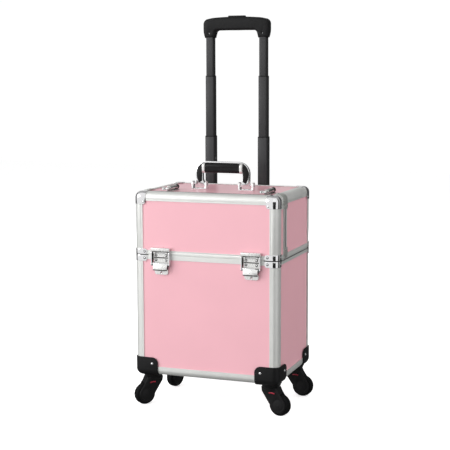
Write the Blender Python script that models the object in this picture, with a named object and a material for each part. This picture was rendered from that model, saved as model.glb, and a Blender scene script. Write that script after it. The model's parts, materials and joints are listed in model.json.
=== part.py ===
"""Rolling two-part makeup train case, modelled in metres with +Z up.

A lower trolley case stands on four swivel casters. A carry case with a front flap stands on top of it.
A telescopic trolley handle runs up behind both. Every position below is in the case frame: x = 0 in the
middle of the case, y = 0 on its front face (+y to the rear), z = 0 on its underside. One empty,
case_frame, carries that frame to the middle of the footprint on the floor.
"""
import math

import bmesh
import bpy
from mathutils import Matrix, Vector

# ---- driving dimensions -------------------------------------------------------------------------
WIDTH = 0.340
DEPTH = 0.2405
HEIGHT = 0.4185
SEAM = 0.277
SEAM_GAP = 0.001
EDGE_RADIUS = 0.013
EDGE_STEPS = 4
SKIN = 0.0015
BOARD = 0.004
GAP = 0.0003
RAIL = 0.020
SEAM_RAIL = 0.0105
SLOT = 0.0125
BOARD_DROP = 0.0008
FAR = 0.01

FLAP_RETURN = 0.050
FLAP_RAIL_END = 0.0195
TOP_FRONT = 0.0241
SHOULDER = 0.3972
HINGE_Y = 0.0217
HINGE_Z = HEIGHT - 0.001
HINGE_RADIUS = 0.0018
HINGE_HALF = 0.148
UPRIGHT_RAIL = 0.012
FLAP_STRIP_START = 0.021
FLAP_STRIP_RAIL = 0.012
FLAP_SHOULDER_RAIL = 0.0095
FLAP_BOARD_LIFT = 0.0035
UPPER_BOARD_LIFT = 0.002
UPPER_FLOOR = (0.0063, 0.0093)
UPPER_FLOOR_FRONT = 0.0076
CAP_REACH = 0.028
CAP_WALL = 0.0009
CAP_BALL = 0.0365

TONGUE_BOTTOM = 0.262
TONGUE_RISE = 0.0042
TONGUE_WALL = 0.002

# The two plates of a latch meet at LATCH_LINE, a little below the seam.
LATCH_X = (-0.1043, 0.1092)
LATCH_HALF = 0.0185
LATCH_ARM = 0.0225
LATCH_PIVOT = (-0.0052, 0.2822)
LATCH_LINE = 0.2716
LATCH_PLATE = 0.002
HOOD_BOTTOM = 0.2868
HOOD_TOP = 0.2945
HOOD_FRONT = -0.0094
KEEPER_BOTTOM = 0.2510
TAB_BOTTOM = 0.2335
TAB_HALF = 0.0162
ARM_RADIUS = 0.0041
ARM_BOTTOM = 0.2530
LEVER_HALF = 0.0168

HANDLE_X = 0.0015
HANDLE_Y = 0.1125
HANDLE_RISE = 0.0110
BRACKET_X = 0.0567
BRACKET_HALF = 0.018
EAR = 0.0035
EAR_RISE = 0.0062
HANDLE_HALF = 0.065
HANDLE_INNER = 0.048
HANDLE_TOP = 0.4815
HANDLE_STRIP = 0.0022
HANDLE_CORNER = 0.027
GRIP_UNDERSIDE = 0.455
HANDLE_HALF_DEPTH = 0.006
GRIP_HALF_DEPTH = 0.0088
LEG_TOP = 0.440
FOOT_DROP = 0.0042
HANDLE_PIN = 0.0020
HANDLE_BORE = 0.0024

STRAP_X = (-0.1020, 0.1300)
STRAP_FRONT = 0.0395
STRAP_LENGTH = 0.0480
STRAP_RISE = 0.0050
STRAP_RADIUS = 0.0055
STRAP_FLANGE = 0.0062
STRAP_FLANGE_DEPTH = 0.0025
STRAP_FOOT = (0.0085, 0.0026)
STRAP_BORE_DEPTH = 0.025
STRAP_PIN_DEPTH = 0.022
EYE_OFFSET = 0.0090
EYE_RADIUS = 0.0055
EYE_HOLE = 0.0033
EYE_HALF_HEIGHT = 0.0028
STRAP_PIN = 0.0016
STRAP_BORE = 0.0020

TROLLEY_X = -0.0172
TROLLEY_Y = 0.260
TUBE_SPACING = 0.133
TUBE_SIZE = (0.0184, 0.0186)
TUBE_CORNER = 0.003
TUBE_WALL = 0.0010
TUBE_STEP = TUBE_WALL + GAP
OUTER_TUBE_TOP = 0.385
OUTER_TUBE_BOTTOM = 0.024
STAGE_TOPS = (0.778, 0.671, 0.528)
STAGE_LENGTHS = (0.167, 0.203, 0.203)
BRACKET_REACH = 0.019
BRACKET_DEPTH = 0.0165
BRACKET_LEVELS = (("lower", 0.020, 0.050), ("upper", 0.236, 0.262))
GRIP_HALF = 0.0823
GRIP_BOTTOM = 0.762
GRIP_DEPTH = 0.024
GRIP_TOP = 0.8068
GRIP_CROWN = 0.0045
GRIP_CEILING = 0.7795
BUTTON_HALF = (0.021, 0.0065)
BUTTON_LEVELS = (0.8025, 0.8138)
BUTTON_SEAT = 0.7955

CASTER_X = 0.143
CASTER_FRONT = 0.035
CASTER_TRAIL = 0.0226
WHEEL_RADIUS = 0.0245
WHEEL_WIDTH = 0.0176
WHEEL_Z = -0.050
WHEEL_SIDES = 28
HOUSING_WALL = 0.0025
HOUSING_BASE = -0.010
HOUSING_LOBE = 0.054
HOUSING_HEIGHT = 0.041
HOUSING_CORNER = 0.013
COLUMN_RADII = (0.0205, 0.0235)
STEM_RADIUS = 0.0040
FORK_HALF = 0.012
FORK_DISC = 0.018
FORK_NECK = 0.0198
AXLE_RADIUS = 0.0030
WHEEL_BORE = 0.0034

TRAY_LEVELS = (0.208, 0.250)
TRAY_MARGIN = (0.0125, 0.0130)
TRAY_WALL = 0.002
TRAY_DIVIDERS = (-0.045, 0.060)

FLOOR_TO_CASE = -(WHEEL_Z - WHEEL_RADIUS * math.cos(math.pi / WHEEL_SIDES))
CASE_OFFSET = Vector((-0.00613, -0.13265, FLOOR_TO_CASE))

# Which way each wheel trails behind its swivel, in degrees about +z from +x.
CASTERS = {
    "front_left": (-CASTER_X, CASTER_FRONT, -129.7),
    "front_right": (CASTER_X, CASTER_FRONT, -9.7),
    "rear_left": (-CASTER_X, DEPTH - CASTER_FRONT, -110.4),
    "rear_right": (CASTER_X, DEPTH - CASTER_FRONT, 0.0),
}

FINISHES = {
    "pink_panel": ((0.90, 0.52, 0.58), 0.45, 0.0),
    "lining": ((0.02, 0.02, 0.02), 0.90, 0.0),
    "aluminium_rail": ((0.72, 0.71, 0.69), 0.35, 1.0),
    "chrome": ((0.85, 0.85, 0.85), 0.08, 1.0),
    "latch_metal": ((0.62, 0.61, 0.59), 0.25, 1.0),
    "grey_barrel": ((0.25, 0.25, 0.25), 0.35, 1.0),
    "black_plastic": ((0.014, 0.014, 0.015), 0.50, 0.0),
    "dark_tube": ((0.06, 0.06, 0.06), 0.42, 0.9),
    "wheel_rubber": ((0.012, 0.012, 0.012), 0.60, 0.0),
}


# ---- mesh helpers ------------------------------------------------------------------------------
def clear_scene():
    for item in list(bpy.data.objects):
        bpy.data.objects.remove(item)


def to_mesh(bm):
    bmesh.ops.recalc_face_normals(bm, faces=bm.faces)
    mesh = bpy.data.meshes.new("shape")
    bm.to_mesh(mesh)
    bm.free()
    return mesh


def block(low, high, radius=0.0, flat=(), steps=EDGE_STEPS):
    """A box whose edges are rounded, but for those that lie in a flat side such as '+z'."""
    bm = bmesh.new()
    bmesh.ops.create_cube(bm, size=1.0)
    low, high = Vector(low), Vector(high)
    size = high - low
    bmesh.ops.scale(bm, vec=size, verts=bm.verts)
    bmesh.ops.translate(bm, vec=(low + high) / 2, verts=bm.verts)
    if radius:
        sharp = set()
        for side in flat:
            axis = "xyz".index(side[1])
            level = high[axis] if side[0] == "+" else low[axis]
            for edge in bm.edges:
                if all(abs(vert.co[axis] - level) < 1e-6 for vert in edge.verts):
                    sharp.add(edge)
        rounded = [edge for edge in bm.edges if edge not in sharp]
        bmesh.ops.bevel(bm, geom=rounded, offset=radius, segments=steps, profile=0.5, affect="EDGES")
    return to_mesh(bm)


def prism(outline, axis, start, end):
    """An outline of (a, b) points pushed along an axis: (y, z) for x, (x, z) for y, (x, y) for z."""
    places = {"x": (1, 2, 0), "y": (0, 2, 1), "z": (0, 1, 2)}[axis]
    bm = bmesh.new()
    verts = []
    for point in outline:
        spot = [0.0, 0.0, 0.0]
        spot[places[0]], spot[places[1]], spot[places[2]] = point[0], point[1], start
        verts.append(bm.verts.new(spot))
    face = bm.faces.new(verts)
    push = [0.0, 0.0, 0.0]
    push[places[2]] = end - start
    grown = bmesh.ops.extrude_face_region(bm, geom=[face])
    moved = [item for item in grown["geom"] if isinstance(item, bmesh.types.BMVert)]
    bmesh.ops.translate(bm, vec=push, verts=moved)
    return to_mesh(bm)


def rod(centre, axis, start, end, radius, sides=16, end_radius=None):
    """A cylinder or cone on a centre line through (a, b), as in prism, from start to end."""
    last = radius if end_radius is None else end_radius
    turns = {"x": Matrix.Rotation(math.pi / 2, 4, "Y"), "y": Matrix.Rotation(-math.pi / 2, 4, "X"),
             "z": Matrix.Identity(4)}
    places = {"x": (1, 2, 0), "y": (0, 2, 1), "z": (0, 1, 2)}[axis]
    middle = [0.0, 0.0, 0.0]
    middle[places[0]], middle[places[1]] = centre
    middle[places[2]] = (start + end) / 2
    bm = bmesh.new()
    place = Matrix.Translation(middle) @ turns[axis] @ Matrix.Rotation(math.pi / sides, 4, "Z")
    bmesh.ops.create_cone(bm, cap_ends=True, segments=sides, radius1=radius, radius2=last,
                          depth=abs(end - start), matrix=place)
    return to_mesh(bm)


def arc(centre, radius, start, end, steps):
    """Points on an arc in degrees, both ends included."""
    angles = [math.radians(start + (end - start) * i / steps) for i in range(steps + 1)]
    return [(centre[0] + radius * math.cos(a), centre[1] + radius * math.sin(a)) for a in angles]


def rounded_rectangle(low, high, radius, steps=3):
    left, bottom = low[0] + radius, low[1] + radius
    right, top = high[0] - radius, high[1] - radius
    points = arc((right, bottom), radius, -90, 0, steps) + arc((right, top), radius, 0, 90, steps)
    return points + arc((left, top), radius, 90, 180, steps) + arc((left, bottom), radius, 180, 270, steps)


def combine(body, tool, operation):
    """The body with the tool cut away (DIFFERENCE), joined on (UNION) or kept in common (INTERSECT)."""
    body_object = bpy.data.objects.new("body", body)
    tool_object = bpy.data.objects.new("tool", tool)
    for item in (body_object, tool_object):
        bpy.context.scene.collection.objects.link(item)
    modifier = body_object.modifiers.new("combine", "BOOLEAN")
    modifier.object = tool_object
    modifier.operation = operation
    modifier.solver = "EXACT"
    depsgraph = bpy.context.evaluated_depsgraph_get()
    result = bpy.data.meshes.new_from_object(body_object.evaluated_get(depsgraph))
    bpy.data.objects.remove(body_object)
    bpy.data.objects.remove(tool_object)
    return result


def cut(body, *tools):
    for tool in tools:
        body = combine(body, tool, "DIFFERENCE")
    return body


def join(body, *tools):
    for tool in tools:
        body = combine(body, tool, "UNION")
    return body


def keep(body, *tools):
    for tool in tools:
        body = combine(body, tool, "INTERSECT")
    return body


# ---- placing pieces ----------------------------------------------------------------------------
def finish_material(name):
    if name in bpy.data.materials:
        return bpy.data.materials[name]
    colour, roughness, metallic = FINISHES[name]
    material = bpy.data.materials.new(name)
    material.use_nodes = True
    shader = material.node_tree.nodes["Principled BSDF"]
    shader.inputs["Base Color"].default_value = (*colour, 1.0)
    shader.inputs["Roughness"].default_value = roughness
    shader.inputs["Metallic"].default_value = metallic
    return material


def carrier(name, position, parent=None, turn=0.0):
    """An empty on a joint's axis, which carries the pieces of one moving body."""
    empty = bpy.data.objects.new(name, None)
    bpy.context.scene.collection.objects.link(empty)
    empty.parent = parent
    held_at = Vector(parent["case_spot"]) if parent else Vector((0.0, 0.0, 0.0))
    empty.location = Vector(position) - held_at
    empty.rotation_euler = (0.0, 0.0, turn)
    empty["case_spot"] = list(position)
    empty.empty_display_size = 0.02
    return empty


def piece(name, mesh, finish, body, local=False, smooth=True):
    """One solid of the object. Its mesh is in the case frame unless it is local to its carrier."""
    if not local:
        mesh.transform(Matrix.Translation(-Vector(body["case_spot"])))
    mesh.name = name
    item = bpy.data.objects.new(name, mesh)
    bpy.context.scene.collection.objects.link(item)
    item.parent = body
    mesh.materials.clear()
    mesh.materials.append(finish_material(finish))
    if smooth:
        mesh.shade_smooth()
        mesh.set_sharp_from_angle(angle=math.radians(32))
    return item


# ---- casework ----------------------------------------------------------------------------------
def case_block(grow, bottom, top, flat):
    """The outer form of the case between two levels, grown or shrunk all round."""
    low = (-WIDTH / 2 - grow, -grow, bottom)
    high = (WIDTH / 2 + grow, DEPTH + grow, top)
    return block(low, high, EDGE_RADIUS + grow, flat=flat)


def build_lower_case(body):
    top = SEAM - SEAM_GAP / 2
    half = WIDTH / 2
    frame = case_block(0.0, 0.0, top, ("+z",))
    frame = cut(frame, case_block(-SKIN, SKIN, top + FAR, ("+z",)))
    window_top = SEAM - SEAM_RAIL
    frame = cut(frame, block((RAIL - half, -FAR, RAIL), (half - RAIL, DEPTH + FAR, window_top)))
    frame = cut(frame, block((-half - FAR, RAIL, RAIL), (half + FAR, DEPTH - RAIL, window_top)))
    frame = cut(frame, block((RAIL - half, RAIL, -FAR), (half - RAIL, DEPTH - RAIL, FAR)))
    piece("lower_frame", frame, "aluminium_rail", body)

    face = SKIN + GAP
    side = half - SLOT + GAP
    board_top = top - BOARD_DROP
    build_boards("lower", body, face, side, SLOT, board_top)
    floor = block((-side, SLOT, face), (side, DEPTH - SLOT, face + BOARD))
    piece("lower_floor_panel", floor, "lining", body)

    inset = face + BOARD + GAP
    low, high = (inset - half, inset), (half - inset, DEPTH - inset)
    corner = 0.0075
    tongue = prism(rounded_rectangle(low, high, corner), "z", TONGUE_BOTTOM, SEAM + TONGUE_RISE)
    low, high = (low[0] + TONGUE_WALL, low[1] + TONGUE_WALL), (high[0] - TONGUE_WALL, high[1] - TONGUE_WALL)
    hollow = rounded_rectangle(low, high, corner - TONGUE_WALL)
    rim = cut(tongue, prism(hollow, "z", TONGUE_BOTTOM - FAR, SEAM + TONGUE_RISE + FAR))
    piece("lower_rim", rim, "aluminium_rail", body)


def build_boards(name, body, face, side, bottom, top, front=True, side_start=SLOT):
    """Front, rear and side boards, each held in the slots of the frame's rails."""
    half = WIDTH / 2
    if front:
        board = block((-side, face, bottom), (side, face + BOARD, top))
        piece(name + "_front_panel", board, "pink_panel", body)
    board = block((-side, DEPTH - face - BOARD, bottom), (side, DEPTH - face, top))
    piece(name + "_rear_panel", board, "pink_panel", body)
    for label, sign in (("left", -1), ("right", 1)):
        inner, outer = sign * (half - face - BOARD), sign * (half - face)
        low = (min(inner, outer), side_start, bottom)
        high = (max(inner, outer), DEPTH - SLOT, top)
        piece(name + "_" + label + "_panel", block(low, high), "pink_panel", body)


def upper_shell():
    bottom = SEAM + SEAM_GAP / 2
    shell = case_block(0.0, bottom, HEIGHT, ("-z",))
    return cut(shell, case_block(-SKIN, bottom - FAR, HEIGHT - SKIN, ("-z",)))


def build_upper_case(body):
    half = WIDTH / 2
    outline = [(FLAP_RETURN, SEAM - FAR), (DEPTH + FAR, SEAM - FAR), (DEPTH + FAR, HEIGHT + FAR),
               (TOP_FRONT, HEIGHT + FAR), (TOP_FRONT, SHOULDER), (FLAP_RETURN, SHOULDER)]
    frame = keep(upper_shell(), prism(outline, "x", -half - FAR, half + FAR))
    sill = SEAM + SEAM_RAIL
    sides = block((-half - FAR, FLAP_RETURN + UPRIGHT_RAIL, sill), (half + FAR, DEPTH - RAIL, SHOULDER))
    rear = block((RAIL - half, DEPTH - FAR, sill), (half - RAIL, DEPTH + FAR, HEIGHT - RAIL))
    lid = block((RAIL - half, 0.0, HEIGHT - FAR), (half - RAIL, DEPTH - RAIL, HEIGHT + FAR))
    piece("upper_frame", cut(frame, sides, rear, lid), "aluminium_rail", body)

    face = SKIN + GAP
    side = half - SLOT + GAP
    build_boards("upper", body, face, side, SEAM + UPPER_BOARD_LIFT, HEIGHT - SLOT, front=False,
                 side_start=FLAP_RETURN + GAP)
    lid_low = (-side, TOP_FRONT, HEIGHT - face - BOARD)
    piece("upper_top_panel", block(lid_low, (side, DEPTH - SLOT, HEIGHT - face)), "pink_panel", body)
    low, high = UPPER_FLOOR
    floor = block((-side, UPPER_FLOOR_FRONT, SEAM + low), (side, DEPTH - SLOT, SEAM + high))
    piece("upper_floor_panel", floor, "lining", body)
    hinge = rod((HINGE_Y, HINGE_Z), "x", -HINGE_HALF, HINGE_HALF, HINGE_RADIUS, 10)
    piece("flap_hinge_barrel", hinge, "chrome", body)
    for label, sign in (("left", -1), ("right", 1)):
        piece("rear_corner_cap_" + label, corner_cap(sign, True), "chrome", body)


def corner_cap(sign, rear):
    """A thin cap over a top corner of the case: 28 mm along each rail, its inner corners rounded."""
    outer = GAP + CAP_WALL
    shell = case_block(outer, SEAM, HEIGHT + outer, ("-z",))
    shell = cut(shell, case_block(GAP, SEAM - FAR, HEIGHT + GAP, ("-z",)))
    side = sorted((sign * (WIDTH / 2 - CAP_REACH), sign * (WIDTH / 2 + FAR)))
    depth = (DEPTH - CAP_REACH, DEPTH + FAR) if rear else (-FAR, FLAP_RAIL_END)
    base = HEIGHT - CAP_REACH if rear else SHOULDER
    shell = keep(shell, block((side[0], depth[0], base), (side[1], depth[1], HEIGHT + FAR)))
    ball = bmesh.new()
    spot = Matrix.Translation((sign * WIDTH / 2, DEPTH if rear else 0.0, HEIGHT))
    bmesh.ops.create_uvsphere(ball, u_segments=20, v_segments=12, radius=CAP_BALL, matrix=spot)
    return keep(shell, to_mesh(ball))


def build_flap(body):
    half = WIDTH / 2
    bottom = SEAM + SEAM_GAP / 2
    reach = FLAP_RETURN - SEAM_GAP / 2
    swing = HINGE_Z - bottom
    stop = math.degrees(math.asin((reach - HINGE_Y) / swing))
    under_shoulder = SHOULDER - 0.0004
    outline = [(-FAR, bottom)] + arc((HINGE_Y, HINGE_Z), swing, -90, -90 + stop, 4)
    outline += [(reach, under_shoulder), (FLAP_RAIL_END, under_shoulder)]
    outline += [(FLAP_RAIL_END, HEIGHT + FAR), (-FAR, HEIGHT + FAR)]
    frame = keep(upper_shell(), prism(outline, "x", -half - FAR, half + FAR))
    sill = SEAM + SEAM_RAIL
    front = block((RAIL - half, -FAR, sill), (half - RAIL, FAR, HEIGHT - RAIL))
    strip_end = reach - FLAP_STRIP_RAIL
    sides = block((-half - FAR, FLAP_STRIP_START, sill),
                  (half + FAR, strip_end, SHOULDER - FLAP_SHOULDER_RAIL))
    piece("flap_frame", cut(frame, front, sides), "aluminium_rail", body)

    face = SKIN + GAP
    turn = EDGE_RADIUS - face
    left, right = EDGE_RADIUS - half, half - EDGE_RADIUS
    end = reach - BOARD_DROP
    outer = [(face - half, end)] + arc((left, EDGE_RADIUS), turn, 180, 270, 4)
    outer += arc((right, EDGE_RADIUS), turn, 270, 360, 4) + [(half - face, end)]
    inner = [(half - face - BOARD, end)] + arc((right, EDGE_RADIUS), turn - BOARD, 360, 270, 4)
    inner += arc((left, EDGE_RADIUS), turn - BOARD, 270, 180, 4) + [(face + BOARD - half, end)]
    panel = prism(outer + inner, "z", bottom + FLAP_BOARD_LIFT, HEIGHT - SLOT)
    above = block((-half, EDGE_RADIUS, SHOULDER - 0.0012), (half, FLAP_RETURN + FAR, HEIGHT))
    piece("flap_panel", cut(panel, above), "pink_panel", body)
    for label, sign in (("left", -1), ("right", 1)):
        piece("flap_corner_cap_" + label, corner_cap(sign, False), "chrome", body)


# ---- latches -----------------------------------------------------------------------------------
def build_latch(label, x, lower, flap, pivot_body):
    """A plate on the flap carries a swinging loop with its lever; a keeper sits on the lower case."""
    y, z = LATCH_PIVOT
    back = -GAP
    front = back - LATCH_PLATE
    low, high = x - LATCH_HALF, x + LATCH_HALF
    play = 0.0004
    keeper = block((low, front, KEEPER_BOTTOM), (high, back, LATCH_LINE - play))
    tab = rounded_rectangle((x - TAB_HALF, TAB_BOTTOM), (x + TAB_HALF, KEEPER_BOTTOM + 0.008), 0.0055)
    keeper = join(keeper, prism(tab, "y", back - 0.0016, back))
    keeper = cut(keeper, rod((x, 0.2378), "y", -FAR, FAR, 0.0014, 12))
    ridge = block((x - 0.010, -0.0045, 0.2545), (x + 0.010, back - 0.001, 0.2575))
    piece("latch_keeper_" + label, join(keeper, ridge), "latch_metal", lower)

    plate = block((low, front, LATCH_LINE + play), (high, back, HOOD_BOTTOM + 0.002))
    plate = join(plate, block((x - LATCH_ARM, HOOD_FRONT, HOOD_BOTTOM), (x + LATCH_ARM, back, HOOD_TOP)))
    knuckle_radius = 0.0022
    for side in (-1, 1):
        inner, outer = sorted((x + side * 0.0125, x + side * 0.0165))
        bearing = block((inner, y, z - knuckle_radius), (outer, back - 0.001, z + knuckle_radius))
        plate = join(plate, rod((y, z), "x", inner, outer, knuckle_radius), bearing)
    plate = cut(plate, rod((y, z), "x", x - LATCH_ARM, x + LATCH_ARM, 0.0015, 12))
    piece("latch_plate_" + label, plate, "latch_metal", flap)

    loop = rod((y, z), "x", x - LATCH_ARM, x + LATCH_ARM, 0.0011, 12)
    foot = ARM_BOTTOM + ARM_RADIUS
    arm_inner = LATCH_HALF + GAP
    outline = arc((y, z), ARM_RADIUS, 0, 180, 8) + arc((y, foot), ARM_RADIUS, 180, 360, 8)
    for side in (-1, 1):
        inner, outer = sorted((x + side * arm_inner, x + side * LATCH_ARM))
        loop = join(loop, prism(outline, "x", inner, outer))
    bridge = block((x - LATCH_ARM + 0.001, -0.0082, 0.2555), (x + LATCH_ARM - 0.001, -0.0062, 0.2602))
    lever = [(-0.0068, 0.2600), (-0.0078, 0.2615), (-0.0096, 0.2598), (-0.0108, 0.2565), (-0.0112, 0.2530),
             (-0.0106, 0.2493), (-0.0088, 0.2458), (-0.0079, 0.2464), (-0.0094, 0.2497), (-0.0100, 0.2530),
             (-0.0096, 0.2561), (-0.0084, 0.2588)]
    loop = join(loop, bridge, prism(lever, "x", x - LEVER_HALF, x + LEVER_HALF))
    piece("latch_lever_" + label, loop, "chrome", pivot_body)


# ---- carry handle and strap eyes ---------------------------------------------------------------
def build_handle(upper, pivot_body):
    top = HEIGHT - SKIN
    pivot_z = HEIGHT + HANDLE_RISE
    for label, sign in (("left", -1), ("right", 1)):
        x = HANDLE_X + sign * BRACKET_X
        bracket = block((x - BRACKET_HALF, HANDLE_Y - 0.009, top),
                        (x + BRACKET_HALF, HANDLE_Y + 0.009, top + 0.002))
        for side in (-1, 1):
            inner, outer = sorted((x + side * (BRACKET_HALF - EAR), x + side * BRACKET_HALF))
            ear = block((inner, HANDLE_Y - 0.006, top + 0.001),
                        (outer, HANDLE_Y + 0.006, pivot_z + EAR_RISE))
            bracket = join(bracket, ear)
        bore = rod((HANDLE_Y, pivot_z), "x", x - BRACKET_HALF - FAR, x + BRACKET_HALF + FAR, HANDLE_BORE, 12)
        piece("handle_bracket_" + label, cut(bracket, bore), "chrome", upper)

    foot = pivot_z - FOOT_DROP
    leg_outer = HANDLE_HALF - 0.001
    leg_inner = BRACKET_X - BRACKET_HALF + EAR + GAP
    ceiling = HANDLE_TOP - HANDLE_STRIP
    right = [(HANDLE_INNER, ceiling), (HANDLE_INNER, LEG_TOP), (leg_inner, foot), (leg_outer, foot)]
    right += arc((HANDLE_HALF - HANDLE_CORNER, HANDLE_TOP - HANDLE_CORNER), HANDLE_CORNER, 0, 90, 5)
    outline = right + [(-a, b) for a, b in reversed(right)]
    outline = [(HANDLE_X + a, b) for a, b in outline]
    bail = prism(outline, "y", HANDLE_Y - HANDLE_HALF_DEPTH, HANDLE_Y + HANDLE_HALF_DEPTH)
    for sign in (-1, 1):
        x = HANDLE_X + sign * BRACKET_X
        bail = join(bail, rod((HANDLE_Y, pivot_z), "x", x - BRACKET_HALF, x + BRACKET_HALF, HANDLE_PIN, 12))
    piece("handle_bail", bail, "chrome", pivot_body)
    grip = rounded_rectangle((HANDLE_Y - GRIP_HALF_DEPTH, GRIP_UNDERSIDE),
                             (HANDLE_Y + GRIP_HALF_DEPTH, ceiling - GAP), 0.0065)
    length = HANDLE_INNER - GAP
    piece("handle_grip", prism(grip, "x", HANDLE_X - length, HANDLE_X + length), "black_plastic", pivot_body)


def build_strap_eye(label, x, upper, pivot_body):
    """A barrel along the lid with a flange at its rear end; a ring swings over about its axis."""
    z = HEIGHT + STRAP_RISE
    floor = HEIGHT - SKIN
    end = STRAP_FRONT + STRAP_LENGTH
    barrel = rod((x, z), "y", STRAP_FRONT, end, STRAP_RADIUS, 18)
    flange = rod((x, z), "y", end - STRAP_FLANGE_DEPTH, end, STRAP_FLANGE, 18)
    foot_half, foot_height = STRAP_FOOT
    foot = block((x - foot_half, STRAP_FRONT + 0.004, floor),
                 (x + foot_half, end - 0.004, floor + foot_height))
    bore = rod((x, z), "y", STRAP_FRONT - FAR, STRAP_FRONT + STRAP_BORE_DEPTH, STRAP_BORE, 12)
    piece("strap_barrel_" + label, cut(join(barrel, flange, foot), bore), "grey_barrel", upper)

    ring = (x - EYE_OFFSET, STRAP_FRONT - EYE_RADIUS - 0.0004)
    low, high = z - EYE_HALF_HEIGHT, z + EYE_HALF_HEIGHT
    eye = rod(ring, "z", low, high, EYE_RADIUS, 18)
    stem = block((ring[0] + EYE_HOLE + 0.0006, ring[1] - 0.0020, z - 0.0022),
                 (x + 0.0022, ring[1] + 0.0020, z + 0.0022))
    pin = rod((x, z), "y", ring[1], STRAP_FRONT + STRAP_PIN_DEPTH, STRAP_PIN, 12)
    eye = cut(join(eye, stem, pin), rod(ring, "z", low - FAR, high + FAR, EYE_HOLE, 16))
    piece("strap_eye_" + label, eye, "chrome", pivot_body)


# ---- trolley -----------------------------------------------------------------------------------
def tube_outline(x, grow):
    half_x, half_y = TUBE_SIZE[0] / 2 + grow, TUBE_SIZE[1] / 2 + grow
    low, high = (x - half_x, TROLLEY_Y - half_y), (x + half_x, TROLLEY_Y + half_y)
    return rounded_rectangle(low, high, TUBE_CORNER + grow)


def tube(x, stage, bottom, top):
    grow = stage * TUBE_STEP
    outer = prism(tube_outline(x, grow), "z", bottom, top)
    return cut(outer, prism(tube_outline(x, grow - TUBE_WALL), "z", bottom - FAR, top + FAR))


def tube_places():
    half = TUBE_SPACING / 2
    return (("left", TROLLEY_X - half), ("right", TROLLEY_X + half))


def build_trolley(lower, stages, button_body):
    outer_stage = 3
    for label, x in tube_places():
        outer = tube(x, outer_stage, OUTER_TUBE_BOTTOM, OUTER_TUBE_TOP)
        piece("trolley_outer_tube_" + label, outer, "dark_tube", lower)
        for stage, body in enumerate(stages):
            top = STAGE_TOPS[stage]
            name = "trolley_stage" + str(stage + 1) + "_tube_" + label
            piece(name, tube(x, stage, top - STAGE_LENGTHS[stage], top), "dark_tube", body)

    reach = TUBE_SPACING / 2 + BRACKET_REACH
    for label, low, high in BRACKET_LEVELS:
        bar = block((TROLLEY_X - reach, DEPTH + GAP, low),
                    (TROLLEY_X + reach, TROLLEY_Y + BRACKET_DEPTH, high), 0.003, steps=2)
        for _, x in tube_places():
            hole_bottom = OUTER_TUBE_BOTTOM - GAP if label == "lower" else low - FAR
            hole = tube_outline(x, outer_stage * TUBE_STEP + GAP)
            bar = cut(bar, prism(hole, "z", hole_bottom, high + FAR))
        piece("trolley_bracket_" + label, bar, "black_plastic", lower)

    piece("trolley_grip", trolley_grip(), "black_plastic", stages[0])
    half_x, half_y = BUTTON_HALF
    bottom, top = BUTTON_LEVELS
    button = block((TROLLEY_X - half_x, TROLLEY_Y - half_y, bottom),
                   (TROLLEY_X + half_x, TROLLEY_Y + half_y, top), 0.002, steps=2)
    piece("trolley_button", button, "black_plastic", button_body)


def trolley_grip():
    """A bar with an arched top between two sockets that hold the innermost tubes."""
    corner = 0.013
    fillet = 0.008
    socket = 0.030
    inner = GRIP_HALF - socket
    right = [(GRIP_HALF - 0.004, GRIP_BOTTOM), (GRIP_HALF, 0.778)]
    right += arc((GRIP_HALF - corner, GRIP_TOP - corner), corner, 4, 82, 5)
    crown = [(GRIP_HALF * t, GRIP_TOP + GRIP_CROWN * (1 - t * t)) for t in (0.5, 0.25, 0.0)]
    under = arc((inner - fillet, GRIP_CEILING - fillet), fillet, 90, 0, 3)
    right_inner = [(0.0, GRIP_CEILING)] + under + [(inner + 0.0026, GRIP_BOTTOM)]
    outline = right + crown
    outline += [(-x, z) for x, z in reversed(right + crown[:-1])]
    outline += [(-x, z) for x, z in reversed(right_inner)][:-1] + right_inner
    outline = [(TROLLEY_X + x, z) for x, z in outline]
    bm = bmesh.new()
    bm.from_mesh(prism(outline, "y", TROLLEY_Y - GRIP_DEPTH / 2, TROLLEY_Y + GRIP_DEPTH / 2))
    rims = [edge for edge in bm.edges
            if abs(edge.verts[0].co.y - edge.verts[1].co.y) < 1e-6]
    bmesh.ops.bevel(bm, geom=rims, offset=0.0035, segments=2, profile=0.5, affect="EDGES")
    grip = to_mesh(bm)
    for _, x in tube_places():
        grip = cut(grip, prism(tube_outline(x, GAP), "z", GRIP_BOTTOM - FAR, STAGE_TOPS[0] + GAP))
    half_x, half_y = BUTTON_HALF[0] + 0.0005, BUTTON_HALF[1] + 0.0005
    seat = block((TROLLEY_X - half_x, TROLLEY_Y - half_y, BUTTON_SEAT),
                 (TROLLEY_X + half_x, TROLLEY_Y + half_y, GRIP_TOP + 3 * FAR))
    return cut(grip, seat)


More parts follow.
